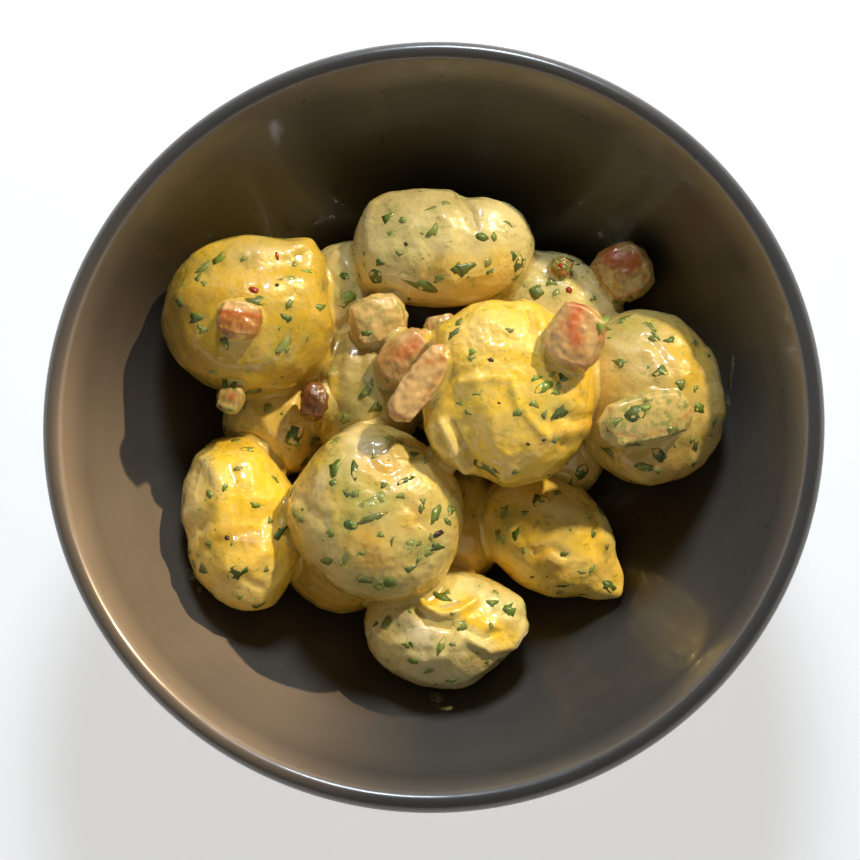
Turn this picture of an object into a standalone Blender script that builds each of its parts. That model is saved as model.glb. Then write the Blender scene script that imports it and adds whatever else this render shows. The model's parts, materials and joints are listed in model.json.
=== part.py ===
# Potato gnocchi in a creamy herb sauce with bits of bacon, heaped in the bowl that holds them.
# Metres, +Z up. The origin is the middle of the bowl's foot, on the table.
# Every gnocco and every bit of bacon is a lump: a rounded body round its own centre, swollen and
# folded here and there, lowered onto what lies beneath it, and pressed flat where it meets a neighbour.

import math
from dataclasses import dataclass

import bmesh
import bpy
import numpy as np
from mathutils import Matrix, Vector
from mathutils.bvhtree import BVHTree

# The bowl: a turned wall of even thickness on a low foot ring
RIM_RADIUS = 0.0825
BOWL_HEIGHT = 0.058
WALL = 0.0045
FLOOR_HEIGHT = 0.0095
CURVE_RADIUS = 0.056
WALL_SLOPE = math.radians(72)
FOOT_RADIUS = 0.038
FOOT_WIDTH = 0.0034
FOOT_EDGE = 0.0007
RECESS_HEIGHT = 0.0047
BOWL_SIDES = 56
CURVE_STEPS = 7
LIP_ANGLES = (252, 216, 180, 135, 90, 72)
SEAM = 0.00001
SHARPEST_SMOOTH_EDGE = math.radians(40)

# How the food meets the bowl and itself
BOWL_GAP = 0.0005
FOOD_GAP = 0.00042
PRESS_ON_BOWL = 0.0015
PRESS_SIDE_BY_SIDE = 0.0090
PRESS_ON_TOP = 0.0055
PRESS_OF_CROWN = 0.0030
PRESS_OF_BACON = 0.33
TIP_WITH_WALL = 0.7
START_HEIGHT = 0.105
DROP_STEP = 0.0005
HALVINGS = 12
REACH_OF_NEIGHBOURS = 0.06
RAY_STEPS = 48
TEST_WAYS = 500
UNEVENNESS = 0.022
WAVES = 5
WAVE_PITCH = 3.2
TINY = 1e-9
GOLDEN_TURN = math.pi * (3 - math.sqrt(5))

# Parsley
FLAKE_SIDES = 6
FLAKE_RADIUS = 0.0011
FLAKE_THICKNESS = 0.0007
FLAKE_SUNK = 0.00034
FLAKE_WIDTH = 0.72
FLAKE_TOP = 0.86
FLAKE_UNEVENNESS = 0.28
FLAKE_REACH = 1.4
FLAKE_CLEARANCE = 0.0008
STEEPEST_FLAKE = 0.45
ABOVE_ALL = 0.2
SKIN = 0.0002
SPREAD_ALONG = 0.7548777
SPREAD_ACROSS = 0.5698403

# Colours as they look in daylight
TAUPE_GLAZE = (0.075, 0.063, 0.052)
EGG_YELLOW = (0.78, 0.56, 0.13)
HERB_CREAM = (0.62, 0.56, 0.27)
COOKED_BACON = (0.62, 0.34, 0.18)
GLAZE_ROUGHNESS = 0.22
SAUCE_ROUGHNESS = 0.35
BACON_ROUGHNESS = 0.4


@dataclass
class Lump:
    name: str
    at: tuple                 # place on the plan, x and y
    size: tuple               # length, width and height
    turn: float = 0.0         # degrees, the long axis away from +X
    lean: float = 0.0         # degrees, the far end raised
    roll: float = 0.0         # degrees, about the long axis
    square: float = 2.0       # 2 is an ellipsoid, 4 is nearly a block
    swells: tuple = ()        # azimuth, elevation, rise as a share of the reach, spread in degrees
    folds: tuple = ()         # azimuth and elevation of the fold's pole, offset, rise, width
    on_bowl: bool = False     # in the lower layer, side by side with its neighbours
    press: float = 0.0        # how far it sinks into what it lies on
    height: float = 0.0       # of the centre, for a lump that is wedged in and can't be lowered
    cuts: int = 6             # across each of the six sides of its mesh
    flakes: int = 0           # spots tried for parsley
    colour: tuple = HERB_CREAM


def low(name, at, size, **more):
    """A gnocco of the lower layer."""
    return Lump(name, at, size, on_bowl=True, press=PRESS_SIDE_BY_SIDE, **more)


def top(name, at, size, press=PRESS_ON_TOP, **more):
    """A gnocco that lies on the lower layer."""
    return Lump(name, at, size, press=press, **more)


def bit(name, at, size, **more):
    """A bit of bacon."""
    return Lump(name, at, size, press=PRESS_OF_BACON * size[2], cuts=2, colour=COOKED_BACON, **more)


# The gnocchi in the order in which they were ladled in, the lowest first
GNOCCHI = (
    low("gnocco_front", (0.0015, -0.0430), (0.0345, 0.0270, 0.0240), turn=2, flakes=12,
        swells=((12, 10, 0.09, 20), (185, 15, 0.04, 30), (322, 5, -0.09, 18), (225, 10, -0.04, 22)),
        folds=((95, 40, 0.25, 0.05, 0.16),)),
    low("gnocco_front_right", (0.0240, -0.0210), (0.0345, 0.0260, 0.0225), turn=-36, flakes=10,
        colour=EGG_YELLOW,
        swells=((-40, -4, 0.50, 12), (170, 10, 0.08, 30), (225, 0, -0.07, 22), (60, 30, 0.05, 25))),
    low("gnocco_right", (0.0475, 0.0075), (0.0395, 0.0340, 0.0285), turn=96, flakes=14,
        swells=((-20, 15, 0.05, 25), (100, 20, 0.04, 30), (250, -5, 0.02, 26), (30, 60, 0.04, 20)),
        folds=((300, 50, 0.42, -0.04, 0.14),)),
    low("gnocco_left", (-0.0438, -0.0195), (0.0392, 0.0265, 0.0250), turn=98, flakes=10,
        colour=EGG_YELLOW,
        swells=((100, 30, 0.06, 30), (290, 10, 0.05, 24), (0, 5, 0.08, 25)),
        folds=((279, 8, 0.18, -0.09, 0.15), (160, 25, 0.30, 0.04, 0.12))),
    low("gnocco_back_right", (0.0265, 0.0300), (0.0330, 0.0260, 0.0245), turn=-25, flakes=7,
        swells=((150, 20, 0.06, 28), (-30, 30, 0.05, 25))),
    low("gnocco_left_low", (-0.0362, 0.0055), (0.0272, 0.0255, 0.0225), turn=70, cuts=4, flakes=5,
        colour=EGG_YELLOW, swells=((60, 25, 0.06, 28), (180, 10, 0.05, 25))),
    low("gnocco_low_middle", (0.0050, -0.0200), (0.0265, 0.0215, 0.0200), turn=75, cuts=4,
        colour=EGG_YELLOW, swells=((80, 20, 0.06, 28),)),
    low("gnocco_low_right", (0.0290, -0.0015), (0.0240, 0.0200, 0.0195), turn=70, cuts=4,
        swells=((-60, 20, 0.08, 26),)),
    low("gnocco_low_front", (-0.0225, -0.0275), (0.0260, 0.0225, 0.0215), turn=-30, cuts=4,
        colour=EGG_YELLOW, swells=((200, 10, 0.06, 28),)),
    low("gnocco_core", (0.0040, 0.0150), (0.0320, 0.0260, 0.0245), turn=15, cuts=4,
        swells=((90, 30, 0.06, 28),)),
    low("gnocco_back_left", (-0.0205, 0.0335), (0.0280, 0.0245, 0.0235), turn=50, cuts=4, flakes=5,
        swells=((120, 30, 0.06, 26),)),
    low("gnocco_middle_left", (-0.0160, 0.0110), (0.0330, 0.0290, 0.0270), turn=80, cuts=5, flakes=7,
        swells=((60, 40, 0.05, 26), (250, 20, 0.06, 28))),
    top("gnocco_front_left", (-0.0130, -0.0190), (0.0390, 0.0375, 0.0275), turn=-35, flakes=20,
        swells=((120, 20, 0.03, 28), (300, 0, 0.04, 22), (10, 5, 0.03, 20), (230, 20, -0.03, 20)),
        folds=((60, 60, 0.55, 0.03, 0.12),)),
    top("gnocco_back", (0.0019, 0.0418), (0.0405, 0.0270, 0.0260), turn=0, flakes=10,
        swells=((28, 8, 0.09, 17), (57, 5, -0.22, 13), (138, 5, 0.20, 25), (206, 5, 0.06, 20)),
        folds=((178, 10, -0.30, -0.05, 0.12),)),
    top("gnocco_left_top", (-0.0415, 0.0258), (0.0390, 0.0350, 0.0290), turn=8, flakes=11,
        colour=EGG_YELLOW, square=2.2,
        swells=((49, 8, 0.13, 14), (176, 0, 0.05, 22), (95, 10, 0.04, 25), (138, 5, -0.05, 18),
                (232, 0, -0.07, 22)),
        folds=((275, 35, -0.42, 0.05, 0.12), (275, 35, -0.10, -0.05, 0.14))),
    top("gnocco_crown", (0.0160, 0.0074), (0.0398, 0.0375, 0.0300), turn=83, flakes=12,
        press=PRESS_OF_CROWN, colour=EGG_YELLOW, square=2.35,
        swells=((240, -10, 0.06, 18), (325, -5, 0.03, 20), (130, 0, -0.03, 20), (110, 40, 0.04, 26)),
        folds=((205, 5, 0.45, 0.07, 0.10), (205, 5, 0.72, -0.08, 0.12))),
)

# The bacon, laid on the gnocchi
BACON = (
    bit("bacon_left_top", (-0.0412, 0.0214), (0.0100, 0.0078, 0.0070), turn=-12, lean=-8, square=3.4,
        swells=((250, 20, 0.15, 25), (80, 40, 0.10, 30)), flakes=1),
    bit("bacon_notch", (-0.0125, 0.0252), (0.0130, 0.0108, 0.0095), turn=20, roll=15, square=3.2,
        swells=((265, 10, 0.20, 25),), flakes=1),
    bit("bacon_chunk", (-0.0060, 0.0158), (0.0140, 0.0105, 0.0095), turn=42, lean=10, square=3.2,
        swells=((20, 10, 0.12, 28), (225, 0, 0.12, 25)), flakes=1),
    bit("bacon_strip", (-0.0024, 0.0070), (0.0185, 0.0074, 0.0062), turn=52, lean=6, roll=20, square=3.4,
        swells=((56, 15, 0.12, 20),)),
    bit("bacon_cube", (0.0309, 0.0162), (0.0136, 0.0122, 0.0110), turn=64, lean=8, square=3.6,
        swells=((100, 50, 0.10, 28), (320, 0, 0.06, 30))),
    bit("bacon_slab", (0.0462, 0.0005), (0.0195, 0.0112, 0.0066), turn=14, lean=-6, roll=12, square=3.2,
        swells=((200, 10, 0.14, 26),), flakes=4),
    bit("bacon_back", (0.0420, 0.0365), (0.0140, 0.0135, 0.0110), turn=30, roll=10, square=2.6,
        swells=((60, 20, 0.08, 30), (-30, 0, 0.08, 28)), flakes=1),
    bit("bacon_dark", (-0.0265, 0.0065), (0.0085, 0.0062, 0.0062), turn=80, square=3.4),
    bit("bacon_left_edge", (-0.0443, 0.0070), (0.0080, 0.0060, 0.0055), turn=70, square=3.0),
    bit("bacon_behind", (0.0028, 0.0225), (0.0100, 0.0062, 0.0060), turn=5, square=3.2, height=0.0385),
    bit("bacon_speck", (0.0285, 0.0370), (0.0050, 0.0042, 0.0042), turn=-30, square=3.0),
)


def heading(azimuth, elevation):
    """Unit way from degrees round the plan, from +X, and degrees above it."""
    turn, rise = math.radians(azimuth), math.radians(elevation)
    return np.array((math.cos(turn) * math.cos(rise), math.sin(turn) * math.cos(rise), math.sin(rise)))


def floor_radius():
    """Radius of the flat floor that is left inside the curve when the straight wall meets the lip."""
    lip_inside = (RIM_RADIUS - WALL / 2 - WALL / 2 * math.sin(WALL_SLOPE),
                  BOWL_HEIGHT - WALL / 2 + WALL / 2 * math.cos(WALL_SLOPE))
    curve_rise = CURVE_RADIUS * (1 - math.cos(WALL_SLOPE))
    straight = (lip_inside[1] - FLOOR_HEIGHT - curve_rise) / math.sin(WALL_SLOPE)
    return lip_inside[0] - straight * math.cos(WALL_SLOPE) - CURVE_RADIUS * math.sin(WALL_SLOPE)


FLOOR_RADIUS = floor_radius()


def height_in_bowl(points):
    """Distance from each point to the inside of the bowl, negative in the wall."""
    out = np.maximum(np.hypot(points[..., 0], points[..., 1]) - FLOOR_RADIUS, 0)
    down = FLOOR_HEIGHT + CURVE_RADIUS - points[..., 2]
    to_curve = CURVE_RADIUS - np.hypot(out, down)
    to_wall = CURVE_RADIUS - (out * math.sin(WALL_SLOPE) + down * math.cos(WALL_SLOPE))
    return np.where(np.arctan2(out, down) > WALL_SLOPE, to_wall, to_curve)


def bowl_profile():
    """Half section of the bowl, from the floor's middle over the lip to the middle underneath."""
    curve_centre = np.array((FLOOR_RADIUS, FLOOR_HEIGHT + CURVE_RADIUS))
    lip_centre = np.array((RIM_RADIUS - WALL / 2, BOWL_HEIGHT - WALL / 2))
    foot_start = math.asin((FOOT_RADIUS - FLOOR_RADIUS) / (CURVE_RADIUS + WALL))

    def on_arc(centre, radius, angle):
        return tuple(centre + radius * np.array((math.sin(angle), -math.cos(angle))))

    inside = [on_arc(curve_centre, CURVE_RADIUS, a) for a in np.linspace(0, WALL_SLOPE, CURVE_STEPS)]
    lip = [on_arc(lip_centre, WALL / 2, math.radians(a)) for a in LIP_ANGLES]
    outside = [on_arc(curve_centre, CURVE_RADIUS + WALL, a)
               for a in np.linspace(WALL_SLOPE, foot_start, CURVE_STEPS)]
    foot_inside = FOOT_RADIUS - FOOT_WIDTH
    foot = [(FOOT_RADIUS, FOOT_EDGE), (FOOT_RADIUS - FOOT_EDGE, 0), (foot_inside + FOOT_EDGE, 0),
            (foot_inside, FOOT_EDGE), (foot_inside - FOOT_EDGE, RECESS_HEIGHT)]
    return [(0, FLOOR_HEIGHT), *inside, *lip, *outside, *foot, (0, RECESS_HEIGHT)]


def material(name, colour, roughness):
    finish = bpy.data.materials.new(name)
    finish.use_nodes = True
    shader = finish.node_tree.nodes["Principled BSDF"]
    shader.inputs["Base Color"].default_value = (*colour, 1)
    shader.inputs["Roughness"].default_value = roughness
    shader.inputs["Metallic"].default_value = 0
    finish.diffuse_color = (*colour, 1)
    return finish


def add_object(name, mesh_data, finish):
    mesh = bpy.data.meshes.new(name)
    mesh_data.to_mesh(mesh)
    mesh_data.free()
    mesh.materials.append(finish)
    thing = bpy.data.objects.new(name, mesh)
    bpy.context.scene.collection.objects.link(thing)
    mesh.shade_smooth()
    return thing


def make_bowl():
    turned = bmesh.new()
    points = [turned.verts.new((radius, 0, height)) for radius, height in bowl_profile()]
    edges = [turned.edges.new(pair) for pair in zip(points, points[1:])]
    bmesh.ops.spin(turned, geom=points + edges, cent=(0, 0, 0), axis=(0, 0, 1), angle=math.tau,
                   steps=BOWL_SIDES, use_merge=True, use_duplicate=False)
    bmesh.ops.remove_doubles(turned, verts=turned.verts[:], dist=SEAM)
    bmesh.ops.recalc_face_normals(turned, faces=turned.faces[:])
    bmesh.ops.triangulate(turned, faces=turned.faces[:])
    bowl = add_object("bowl", turned, material("taupe_glaze", TAUPE_GLAZE, GLAZE_ROUGHNESS))
    bowl.data.set_sharp_from_angle(angle=SHARPEST_SMOOTH_EDGE)
    return bowl


def slope_at(place):
    """Slope of the bowl under a place on the plan."""
    out = max(math.hypot(*place) - FLOOR_RADIUS, 0)
    return math.asin(min(out / CURVE_RADIUS, math.sin(WALL_SLOPE)))


def set_up(lump, seed):
    """Axes, swelling ways and unevenness of a lump; one that lies on the bowl tips with its wall."""
    axes = (Matrix.Rotation(math.radians(lump.turn), 3, "Z")
            @ Matrix.Rotation(-math.radians(lump.lean), 3, "Y")
            @ Matrix.Rotation(math.radians(lump.roll), 3, "X"))
    if lump.on_bowl:
        tangent = Vector((-lump.at[1], lump.at[0], 0)).normalized()
        axes = Matrix.Rotation(-TIP_WITH_WALL * slope_at(lump.at), 3, tangent) @ axes
    lump.axes = np.array(axes)
    draw = np.random.default_rng(seed)
    lump.waves = draw.normal(size=(WAVES, 3)) * WAVE_PITCH
    lump.phases = draw.uniform(0, math.tau, WAVES)
    lump.centre = np.array((*lump.at, 0.0))


def reach(lump, ways):
    """Distance from the lump's centre to its free surface along each unit way."""
    shares = np.abs(ways @ lump.axes) / (np.array(lump.size) / 2)
    plain = (shares ** lump.square).sum(axis=-1) ** (-1 / lump.square)
    swelling = 1 + UNEVENNESS * np.sin(ways @ lump.waves.T + lump.phases).sum(axis=-1) / math.sqrt(WAVES)
    for azimuth, elevation, rise, spread in lump.swells:
        toward = ways @ heading(azimuth, elevation)
        swelling = swelling + rise * np.exp((toward - 1) / (1 - math.cos(math.radians(spread))))
    for azimuth, elevation, offset, rise, width in lump.folds:
        across = (ways @ heading(azimuth, elevation) - offset) / width
        swelling = swelling + rise * np.exp(-across ** 2)
    return plain * swelling


def outside(lump, points):
    """How far each point lies outside a lump, measured from its centre, negative inside."""
    offsets = points - lump.centre
    distance = np.maximum(np.linalg.norm(offsets, axis=-1), TINY)
    return distance - reach(lump, offsets / distance[..., None])


def near(lump, others):
    """The others that are close enough to touch."""
    return [other for other in others
            if other is not lump and np.linalg.norm(other.centre - lump.centre) < REACH_OF_NEIGHBOURS]


def even_ways(count):
    """Unit ways spread evenly over the sphere."""
    step = np.arange(count) + 0.5
    height = 1 - 2 * step / count
    turn = step * GOLDEN_TURN
    level = np.sqrt(1 - height ** 2)
    return np.stack((level * np.cos(turn), level * np.sin(turn), height), axis=-1)


def lower(lump, placed):
    """Lower a lump from above the rim until it presses into the bowl or into what lies below."""
    if lump.height:
        lump.centre = np.array((*lump.at, lump.height))
        return
    ways = even_ways(TEST_WAYS)
    skin = ways * reach(lump, ways)[:, None]

    def room(height):
        lump.centre = np.array((*lump.at, height))
        points = skin + lump.centre
        spare = [(height_in_bowl(points) + PRESS_ON_BOWL).min()]
        spare += [(outside(other, points) + lump.press).min() for other in near(lump, placed)]
        return min(spare)

    free = START_HEIGHT
    while room(free - DROP_STEP) > 0:
        free -= DROP_STEP
    held = free - DROP_STEP
    for _ in range(HALVINGS):
        middle = (free + held) / 2
        if room(middle) > 0:
            free = middle
        else:
            held = middle
    lump.centre = np.array((*lump.at, free))


def pressed_reach(lump, ways, equals, harder):
    """Reach along each way, stopped by the bowl, halfway to an equal, or at a harder neighbour's skin."""
    free = reach(lump, ways)
    shares = np.linspace(0, 1, RAY_STEPS)
    depths = free[:, None] * shares
    points = lump.centre + ways[:, None, :] * depths[..., None]
    over = BOWL_GAP - height_in_bowl(points)
    for other in near(lump, harder):
        over = np.maximum(over, FOOD_GAP - outside(other, points))
    own = depths - free[:, None]
    for other in near(lump, equals):
        over = np.maximum(over, own + FOOD_GAP - outside(other, points))
    blocked = over > 0
    first = np.where(blocked.any(axis=1), blocked.argmax(axis=1), RAY_STEPS - 1)
    rows = np.arange(len(ways))
    before = np.maximum(first - 1, 0)
    rise = over[rows, first] - over[rows, before]
    part = np.clip(-over[rows, before] / np.where(np.abs(rise) < TINY, 1, rise), 0, 1)
    stopped = depths[rows, before] + part * (depths[rows, first] - depths[rows, before])
    return np.where(blocked.any(axis=1), stopped, free)


def make_lump(lump, equals, harder, finish):
    """A rounded block of even quads, each corner set out along its own way from the centre."""
    body = bmesh.new()
    bmesh.ops.create_cube(body, size=2)
    bmesh.ops.subdivide_edges(body, edges=body.edges[:], cuts=lump.cuts, use_grid_fill=True)
    corners = np.tan(np.array([corner.co[:] for corner in body.verts]) * math.pi / 4)
    corners = corners / np.linalg.norm(corners, axis=1)[:, None] * np.array(lump.size)
    ways = corners @ lump.axes.T
    ways = ways / np.linalg.norm(ways, axis=1)[:, None]
    depths = pressed_reach(lump, ways, equals, harder)
    for corner, place in zip(body.verts, lump.centre + ways * depths[:, None]):
        corner.co = place
    bmesh.ops.triangulate(body, faces=body.faces[:], quad_method="SHORT_EDGE")
    bmesh.ops.recalc_face_normals(body, faces=body.faces[:])
    return add_object(lump.name, body, finish)


def make_flake(name, spot, normal, number):
    """A small torn leaf: an uneven six-sided chip that lies on the skin with its rim a little wavy."""
    leaf = bmesh.new()
    bmesh.ops.create_circle(leaf, cap_ends=True, segments=FLAKE_SIDES, radius=1)
    rim = leaf.verts[:]
    lid = bmesh.ops.extrude_face_region(leaf, geom=leaf.faces[:])["geom"]
    raised = [part for part in lid if isinstance(part, bmesh.types.BMVert)]
    for index, corner in enumerate(rim + raised):
        side = index % FLAKE_SIDES
        corner.co *= FLAKE_RADIUS * (1 + FLAKE_UNEVENNESS * math.sin(GOLDEN_TURN * (number + side)))
        corner.co.y *= FLAKE_WIDTH
    for corner in raised:
        corner.co *= FLAKE_TOP
        corner.co.z = FLAKE_THICKNESS
    bmesh.ops.recalc_face_normals(leaf, faces=leaf.faces[:])
    turn = Matrix.Rotation(GOLDEN_TURN * number, 4, "Z")
    stand = normal.to_track_quat("Z", "Y").to_matrix().to_4x4()
    place = Matrix.Translation(spot - normal * FLAKE_SUNK)
    bmesh.ops.transform(leaf, matrix=place @ stand @ turn, verts=leaf.verts[:])
    return add_object(name, leaf, None)


def flake_spots(lump, thing, lumps, trees):
    """Even spots over a lump as seen from above, where its skin is bare, not steep and clear of others."""
    corners = np.array([corner.co[:] for corner in thing.data.vertices])
    least, most = corners.min(axis=0)[:2], corners.max(axis=0)[:2]
    for number in range(1, lump.flakes + 1):
        share = ((0.5 + number * SPREAD_ALONG) % 1, (0.5 + number * SPREAD_ACROSS) % 1)
        above = Vector((*(least + (most - least) * share), ABOVE_ALL))
        spot, normal, _, _ = trees[lump.name].ray_cast(above, Vector((0, 0, -1)))
        if spot is None or normal.z < STEEPEST_FLAKE:
            continue
        clear = FLAKE_RADIUS * FLAKE_REACH + FLAKE_CLEARANCE
        lifted = spot + Vector((0, 0, SKIN))
        others = near(lump, lumps)
        beside = any(outside(other, np.array(spot)) < clear for other in others)
        covered = any(trees[other.name].ray_cast(lifted, Vector((0, 0, 1)))[0] for other in others)
        if not beside and not covered:
            yield number, spot, normal


def scatter_parsley(lump, thing, lumps, trees):
    """Fuse the parsley that lies on a lump to it, by one union."""
    leaves = bpy.data.collections.new(lump.name + "_parsley")
    bpy.context.scene.collection.children.link(leaves)
    for number, spot, normal in list(flake_spots(lump, thing, lumps, trees)):
        leaf = make_flake(f"leaf_{number}", spot, normal, number)
        bpy.context.scene.collection.objects.unlink(leaf)
        leaves.objects.link(leaf)
    if leaves.objects:
        union = thing.modifiers.new("parsley", "BOOLEAN")
        union.operation = "UNION"
        union.operand_type = "COLLECTION"
        union.collection = leaves
        union.solver = "EXACT"
        settled = thing.evaluated_get(bpy.context.evaluated_depsgraph_get())
        fused = bpy.data.meshes.new_from_object(settled)
        thing.modifiers.remove(union)
        thing.data = fused
        fused.name = lump.name
    for leaf in list(leaves.objects):
        bpy.data.objects.remove(leaf)
    bpy.data.collections.remove(leaves)


def make_food():
    """Lower every lump in turn, shape it against its neighbours and lay the parsley on it."""
    lumps = GNOCCHI + BACON
    for seed, lump in enumerate(lumps):
        set_up(lump, seed)
    placed = []
    for lump in lumps:
        lower(lump, placed)
        placed.append(lump)
    things = {}
    for lump in GNOCCHI:
        finish = material(lump.name + "_sauce", lump.colour, SAUCE_ROUGHNESS)
        things[lump.name] = make_lump(lump, GNOCCHI, (), finish)
    for lump in BACON:
        finish = material(lump.name + "_browned", COOKED_BACON, BACON_ROUGHNESS)
        things[lump.name] = make_lump(lump, BACON, GNOCCHI, finish)
    trees = {}
    for lump in lumps:
        mesh = things[lump.name].data
        corners = [corner.co for corner in mesh.vertices]
        trees[lump.name] = BVHTree.FromPolygons(corners, [face.vertices for face in mesh.polygons])
    for lump in lumps:
        scatter_parsley(lump, things[lump.name], lumps, trees)


def main():
    for thing in list(bpy.data.objects):
        bpy.data.objects.remove(thing)
    make_bowl()
    make_food()


main()
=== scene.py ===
import json
import math

import bmesh
import bpy
import numpy as np
from mathutils import Matrix, Vector, noise
from mathutils.bvhtree import BVHTree
from mathutils.kdtree import KDTree

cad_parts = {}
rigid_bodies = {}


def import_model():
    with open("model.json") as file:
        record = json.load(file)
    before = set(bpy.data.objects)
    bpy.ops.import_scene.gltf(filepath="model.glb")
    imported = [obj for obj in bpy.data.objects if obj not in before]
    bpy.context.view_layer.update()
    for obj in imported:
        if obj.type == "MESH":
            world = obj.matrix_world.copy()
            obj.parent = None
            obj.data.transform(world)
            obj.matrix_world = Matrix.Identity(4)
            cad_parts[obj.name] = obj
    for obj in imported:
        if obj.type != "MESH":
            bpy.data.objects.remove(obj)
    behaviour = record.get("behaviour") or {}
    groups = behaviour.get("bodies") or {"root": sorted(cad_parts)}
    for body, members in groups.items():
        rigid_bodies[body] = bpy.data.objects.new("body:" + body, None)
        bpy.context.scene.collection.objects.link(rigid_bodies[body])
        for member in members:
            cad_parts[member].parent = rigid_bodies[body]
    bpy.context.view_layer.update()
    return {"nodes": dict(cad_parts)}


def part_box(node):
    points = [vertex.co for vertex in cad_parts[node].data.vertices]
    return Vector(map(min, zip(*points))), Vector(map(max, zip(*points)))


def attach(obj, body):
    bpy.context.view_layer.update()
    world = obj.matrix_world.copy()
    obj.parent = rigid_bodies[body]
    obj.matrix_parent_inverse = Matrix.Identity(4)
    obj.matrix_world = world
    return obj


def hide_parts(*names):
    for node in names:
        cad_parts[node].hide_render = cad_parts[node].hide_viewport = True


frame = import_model()
cadNodes = frame["nodes"]
mm = 0.001
draw = np.random.default_rng(11)      # every random number comes from here, so every run is the same
noise.seed_set(11)      # without this the offsets of noise_vector come from the clock

# The camera, as fitted to the rim. Pixels below are those of its 860 x 860 picture.
camera = {"turn": 16.10, "height": 80.05, "distance": 0.4, "target": (-0.00003, -0.00325, 0.0555),
          "focal": 1896.8, "size": 860}

turn, height = math.radians(camera["turn"]), math.radians(camera["height"])
lookBack = Vector((math.sin(turn) * math.cos(height), -math.cos(turn) * math.cos(height), math.sin(height)))
imageUp = (Vector((0, 1, 0)) - lookBack * lookBack.y).normalized()
imageRight = imageUp.cross(lookBack)
eye = Vector(camera["target"]) + lookBack * camera["distance"]
pixelSize = camera["distance"] / camera["focal"]      # metres at the target


def addObject(name, data):
    thing = bpy.data.objects.new(name, data)
    bpy.context.scene.collection.objects.link(thing)
    return thing


def makeCamera():
    data = bpy.data.cameras.new("camera")
    data.sensor_width = 36
    data.lens = data.sensor_width * camera["focal"] / camera["size"]
    data.clip_start, data.clip_end = 0.01, 10
    thing = addObject("camera", data)
    stand = Matrix((imageRight, imageUp, lookBack)).transposed().to_4x4()
    thing.matrix_world = Matrix.Translation(eye) @ stand
    bpy.context.scene.camera = thing


def toPixels(points):
    offset = points - np.array(eye)
    depth = -(offset @ np.array(lookBack))
    across = camera["size"] / 2 + camera["focal"] * (offset @ np.array(imageRight)) / depth
    down = camera["size"] / 2 - camera["focal"] * (offset @ np.array(imageUp)) / depth
    return np.stack((across, down), axis=1)


def pixelWay(x, y):
    middle = camera["size"] / 2
    aside = imageRight * (x - middle) - imageUp * (y - middle)
    return (aside / camera["focal"] - lookBack).normalized()


makeCamera()


class Value:      # one output of a node; sums, differences and products add their Math nodes
    def __init__(self, look, socket):
        self.look = look
        self.socket = socket

    def __add__(self, other):
        return self.look.maths("ADD", self, other)

    def __sub__(self, other):
        return self.look.maths("SUBTRACT", self, other)

    def __rsub__(self, other):
        return self.look.maths("SUBTRACT", other, self)

    def __mul__(self, other):
        return self.look.maths("MULTIPLY", self, other)

    __radd__ = __add__
    __rmul__ = __mul__


class Look:       # one material and its nodes
    def __init__(self, name, constants):
        self.material = bpy.data.materials.new(name)
        self.material.use_nodes = True
        self.tree = self.material.node_tree
        self.shader = self.tree.nodes["Principled BSDF"]
        self.paint(constants)

    def paint(self, values):      # sets or links sockets of the shader
        for socket, value in values.items():
            self.feed(self.shader.inputs[socket], value)
        return self.material

    def feed(self, socket, value):
        if isinstance(value, Value):
            self.tree.links.new(value.socket, socket)
        elif isinstance(value, tuple) and len(value) == 3 and socket.type == "RGBA":
            socket.default_value = (*value, 1)
        else:
            socket.default_value = value

    def node(self, kind, settings, inputs, output=0):
        made = self.tree.nodes.new("ShaderNode" + kind)
        for key, value in settings.items():
            setattr(made, key, value)
        for key, value in inputs.items():
            self.feed(made.inputs[key], value)
        return Value(self, made.outputs[output])

    def maths(self, operation, a, b):
        return self.node("Math", {"operation": operation}, {0: a, 1: b})

    def layers(self, colour, *others):      # each layer is how much it covers, then its colour
        for share, other in others:
            colour = self.node("Mix", {"data_type": "RGBA"}, {0: share, 6: colour, 7: other}, output=2)
        return colour

    def step(self, value, low, high):      # 0 at low, 1 at high, smooth between them
        inputs = {0: value, 1: low, 2: high, 3: 0.0, 4: 1.0}
        return self.node("MapRange", {"interpolation_type": "SMOOTHSTEP"}, inputs)

    def attributes(self, *names):
        return [self.node("Attribute", {"attribute_name": name}, {}, output=2) for name in names]

    def place(self):
        return self.node("TexCoord", {}, {}, output=3)

    def noise(self, size, detail=3.0, rough=0.5, distortion=0.0, seed=0.0, stretch=(1, 1, 1)):
        shift = (seed, seed * 0.7, seed * 1.3)
        at = self.node("Mapping", {}, {"Vector": self.place(), "Location": shift, "Scale": stretch})
        inputs = {"Vector": at, "Scale": 1 / size, "Detail": detail, "Roughness": rough, "Distortion": distortion}
        return self.node("TexNoise", {}, inputs)

    def bump(self, height, distance, strength):
        return self.node("Bump", {}, {"Height": height, "Strength": strength, "Distance": distance})


# The bowl's finely turned wall, to the same section as its solid. Its glaze is paler in two bands at the lip:
# how far in from the rim, how wide, from what height up, and how strong.
bowl = {"rim": 0.0825, "tall": 0.058, "wall": 0.0045, "floor": 0.0095, "curve": 0.056, "slope": 72,
        "footRadius": 0.038, "footWidth": 0.0034, "footEdge": 0.0007, "recess": 0.0047,
        "floorRings": (0.008, 0.016), "sides": 192, "curveSteps": 30, "lipSteps": 14, "merge": 0.01 * mm,
        "lipBands": ((0.0041, 0.00045, 0.052, 1.0), (0.0008, 0.0007, 0.055, 0.5)),
        "glaze": (0.101, 0.09, 0.076), "cloudy": (0.124, 0.109, 0.092), "ringed": (0.074, 0.066, 0.056),
        "speckle": (0.05, 0.042, 0.036), "thinGlaze": (0.21, 0.175, 0.14), "clay": (0.42, 0.33, 0.24)}

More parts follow.
